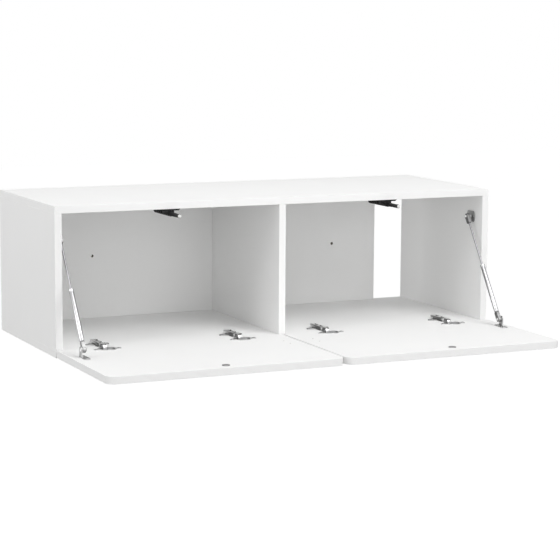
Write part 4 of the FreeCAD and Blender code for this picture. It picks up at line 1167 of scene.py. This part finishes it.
def spring_tree(material):
    """Compression spring along Z, its two end coils closed."""
    repeater = Repeater("springs")
    radius = repeater.size("Coil Radius", 3.45 * MM)
    length = repeater.size("Length", 60 * MM)
    wire = repeater.size("Wire Diameter", 0.8 * MM)
    turns = repeater.size("Turns", 12.0)
    closed = wire * 1.1
    section = repeater.node("GeometryNodeCurvePrimitiveCircle", {
        "Resolution": 10, "Radius": wire * 0.5})
    coils = []
    for rotations, height, start in (
        (1.0, closed, 0.0), (turns, length - closed * 2.0, closed), (1.0, closed, length - closed),
    ):
        spiral = repeater.node("GeometryNodeCurveSpiral", {
            "Resolution": 28, "Rotations": rotations, "Start Radius": radius, "End Radius": radius,
            "Height": height})
        coils.append(repeater.moved(spiral[0], start))
    wires = repeater.node("GeometryNodeCurveToMesh", {
        "Curve": repeater.join(*coils), "Profile Curve": section[0], "Fill Caps": True})
    smooth = repeater.node("GeometryNodeSetShadeSmooth", {"Geometry": wires[0]})
    return repeater.end(repeater.instanced(smooth[0]), material)


def add_latches(finishes):
    springs = spring_tree(finishes["spring_steel"])
    for side in SIDES:
        add_fittings(side, finishes, (
            ("latch_housing", latch_housing_mesh(side), None, "black_plastic", "latch_housing"),
            ("plunger", plunger_mesh(side), "_latch_plunger", "black_plastic", "latch_plunger"),
            ("tip", tip_mesh(side), "_latch_plunger", "white_plastic", "latch_tip"),
            ("strike", strike_mesh(side), "_door", "nickel", "strike_disc"),
        ))
        low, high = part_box(side + "_latch_spring")
        centre = (low + high) / 2
        seat = ((centre.x, low.y + SPRING_PLAY, centre.z), (0.0, 1.0, 0.0))
        spring = grown(side + "_spring_detailed", [seat], springs, {
            "Coil Radius": (high.x - low.x) / 2 - SPRING_PLAY,
            "Length": high.y - low.y - 2 * SPRING_PLAY})
        stand_for(spring, "cabinet", "spring_steel", side + "_latch_spring")


# ---- boards

SPARE_HOLE_INSET = 31.5 * MM
SPARE_HOLE_SPACING = 32 * MM
SPARE_HOLE_RADIUS = 1.45 * MM
SPARE_HOLE_DEPTH = 12.5 * MM
HOLE_MARGIN = 0.2 * MM


def paint(node, material):
    """Gives every material slot of a CAD node one finish."""
    materials = NODES[node].data.materials
    for index in range(len(materials)):
        materials[index] = material


def dress_boards(finishes):
    """Gives every carried-over CAD node the finish of its slot; drilled boards get their own."""
    slots = {entry["node"]: entry["material_slot"] for entry in frame["record"]["subparts"]}
    for node in NODES:
        paint(node, finishes["covers" if node == "cam_covers" else slots[node]])
    mount = next(entry for entry in frame["record"]["mounts"] if entry["name"] == "wall_fixings")
    half_spacing = mount["dims"]["spacing_x_mm"] * MM / 2
    hole = mount["dims"]["hole_r_mm"] * MM + HOLE_MARGIN
    for side, sign in SIDES.items():
        paint(side + "_back_panel", melamine(
            side + "_back_melamine", [(sign * half_spacing, "z", 0.0, hole)]))
        x = end_x(side + "_door", -sign) + sign * SPARE_HOLE_INSET
        pilots = [(x, "y", STRUT_FOOT[side].y + end * SPARE_HOLE_SPACING / 2, SPARE_HOLE_RADIUS)
                  for end in (-1, 1)]
        paint(side + "_door", melamine(
            side + "_door_melamine", pilots, DOOR_FACE - SPARE_HOLE_DEPTH))


def make_finishes():
    # Stud heads at both pivots, which carry the painted highlight of plated_steel.
    heads = [(stud["left"].y, stud["left"].z, RIVET_RADIUS) for stud in (STRUT_TOP, STRUT_FOOT)]
    return {
        "white_board": melamine(),
        "dowel_wood": beech(),
        "nickel": plated_steel("nickel_plate", 0.80, 0.17, 0.90, 0.20),
        # Painted light and shade: plates, cups, brackets and strikes are copies of the nickel plating with their
        # own tones, lighter or darker for how light falls on each part.
        "plates": plated_steel("mounting_plate", 0.50, 0.17, 0.28, 0.25),
        "cups": plated_steel("cup_plate", 0.68, 0.50, 0.72, 0.26),
        "brackets": plated_steel("bracket_plate", 0.50, 0.40, 0.46, 0.34, heads),
        "strikes": plated_steel("strike_plate", 0.34, 0.34, 0.34, 0.30),
        "covers": moulded_plastic("cover_plastic", *FOIL, 0.42, 0.12),
        "zinc_screws": plated_steel("zinc_plate", 0.46, 0.20, 0.46, 0.30),
        # Painted shade: the clamp screws are a darker copy of the zinc plating.
        "clamp_screws": plated_steel("clamp_plate", 0.20, 0.10, 0.16, 0.30),
        "cam_zinc": plated_steel("cast_zinc", 0.48, 0.38, 0.48, 0.45),
        "piston_rod": polished_steel(
            "polished_rod", (0.32, 0.32, 0.33), (0.20, 0.20, 0.21), 0.16, 0.28),
        "strut_tube": polished_steel(
            "polished_tube", (0.52, 0.52, 0.53), (0.40, 0.40, 0.41), 0.16, 0.24),
        "strut_fitting": plated_steel("fitting_steel", 0.38, 0.22, 0.36, 0.38, heads),
        "black_plastic": moulded_plastic(
            "black_plastic", (0.004, 0.004, 0.004), (0.009, 0.009, 0.009), 0.50, 0.25),
        "white_plastic": moulded_plastic(
            "white_plastic", (0.74, 0.74, 0.73), (0.80, 0.80, 0.79), 0.45, 0.30),
        "spring_steel": plated_steel("spring_steel", 0.42, 0.30, 0.42, 0.32),
    }


# ---- making it

bpy.context.scene.view_settings.view_transform = "Standard"
add_camera()
add_world()
add_floor()
for lamp in LAMPS:
    add_lamp(*lamp)
finishes = make_finishes()
dress_boards(finishes)
add_screws(finishes)
add_hinges(finishes)
add_struts(finishes)
add_latches(finishes)
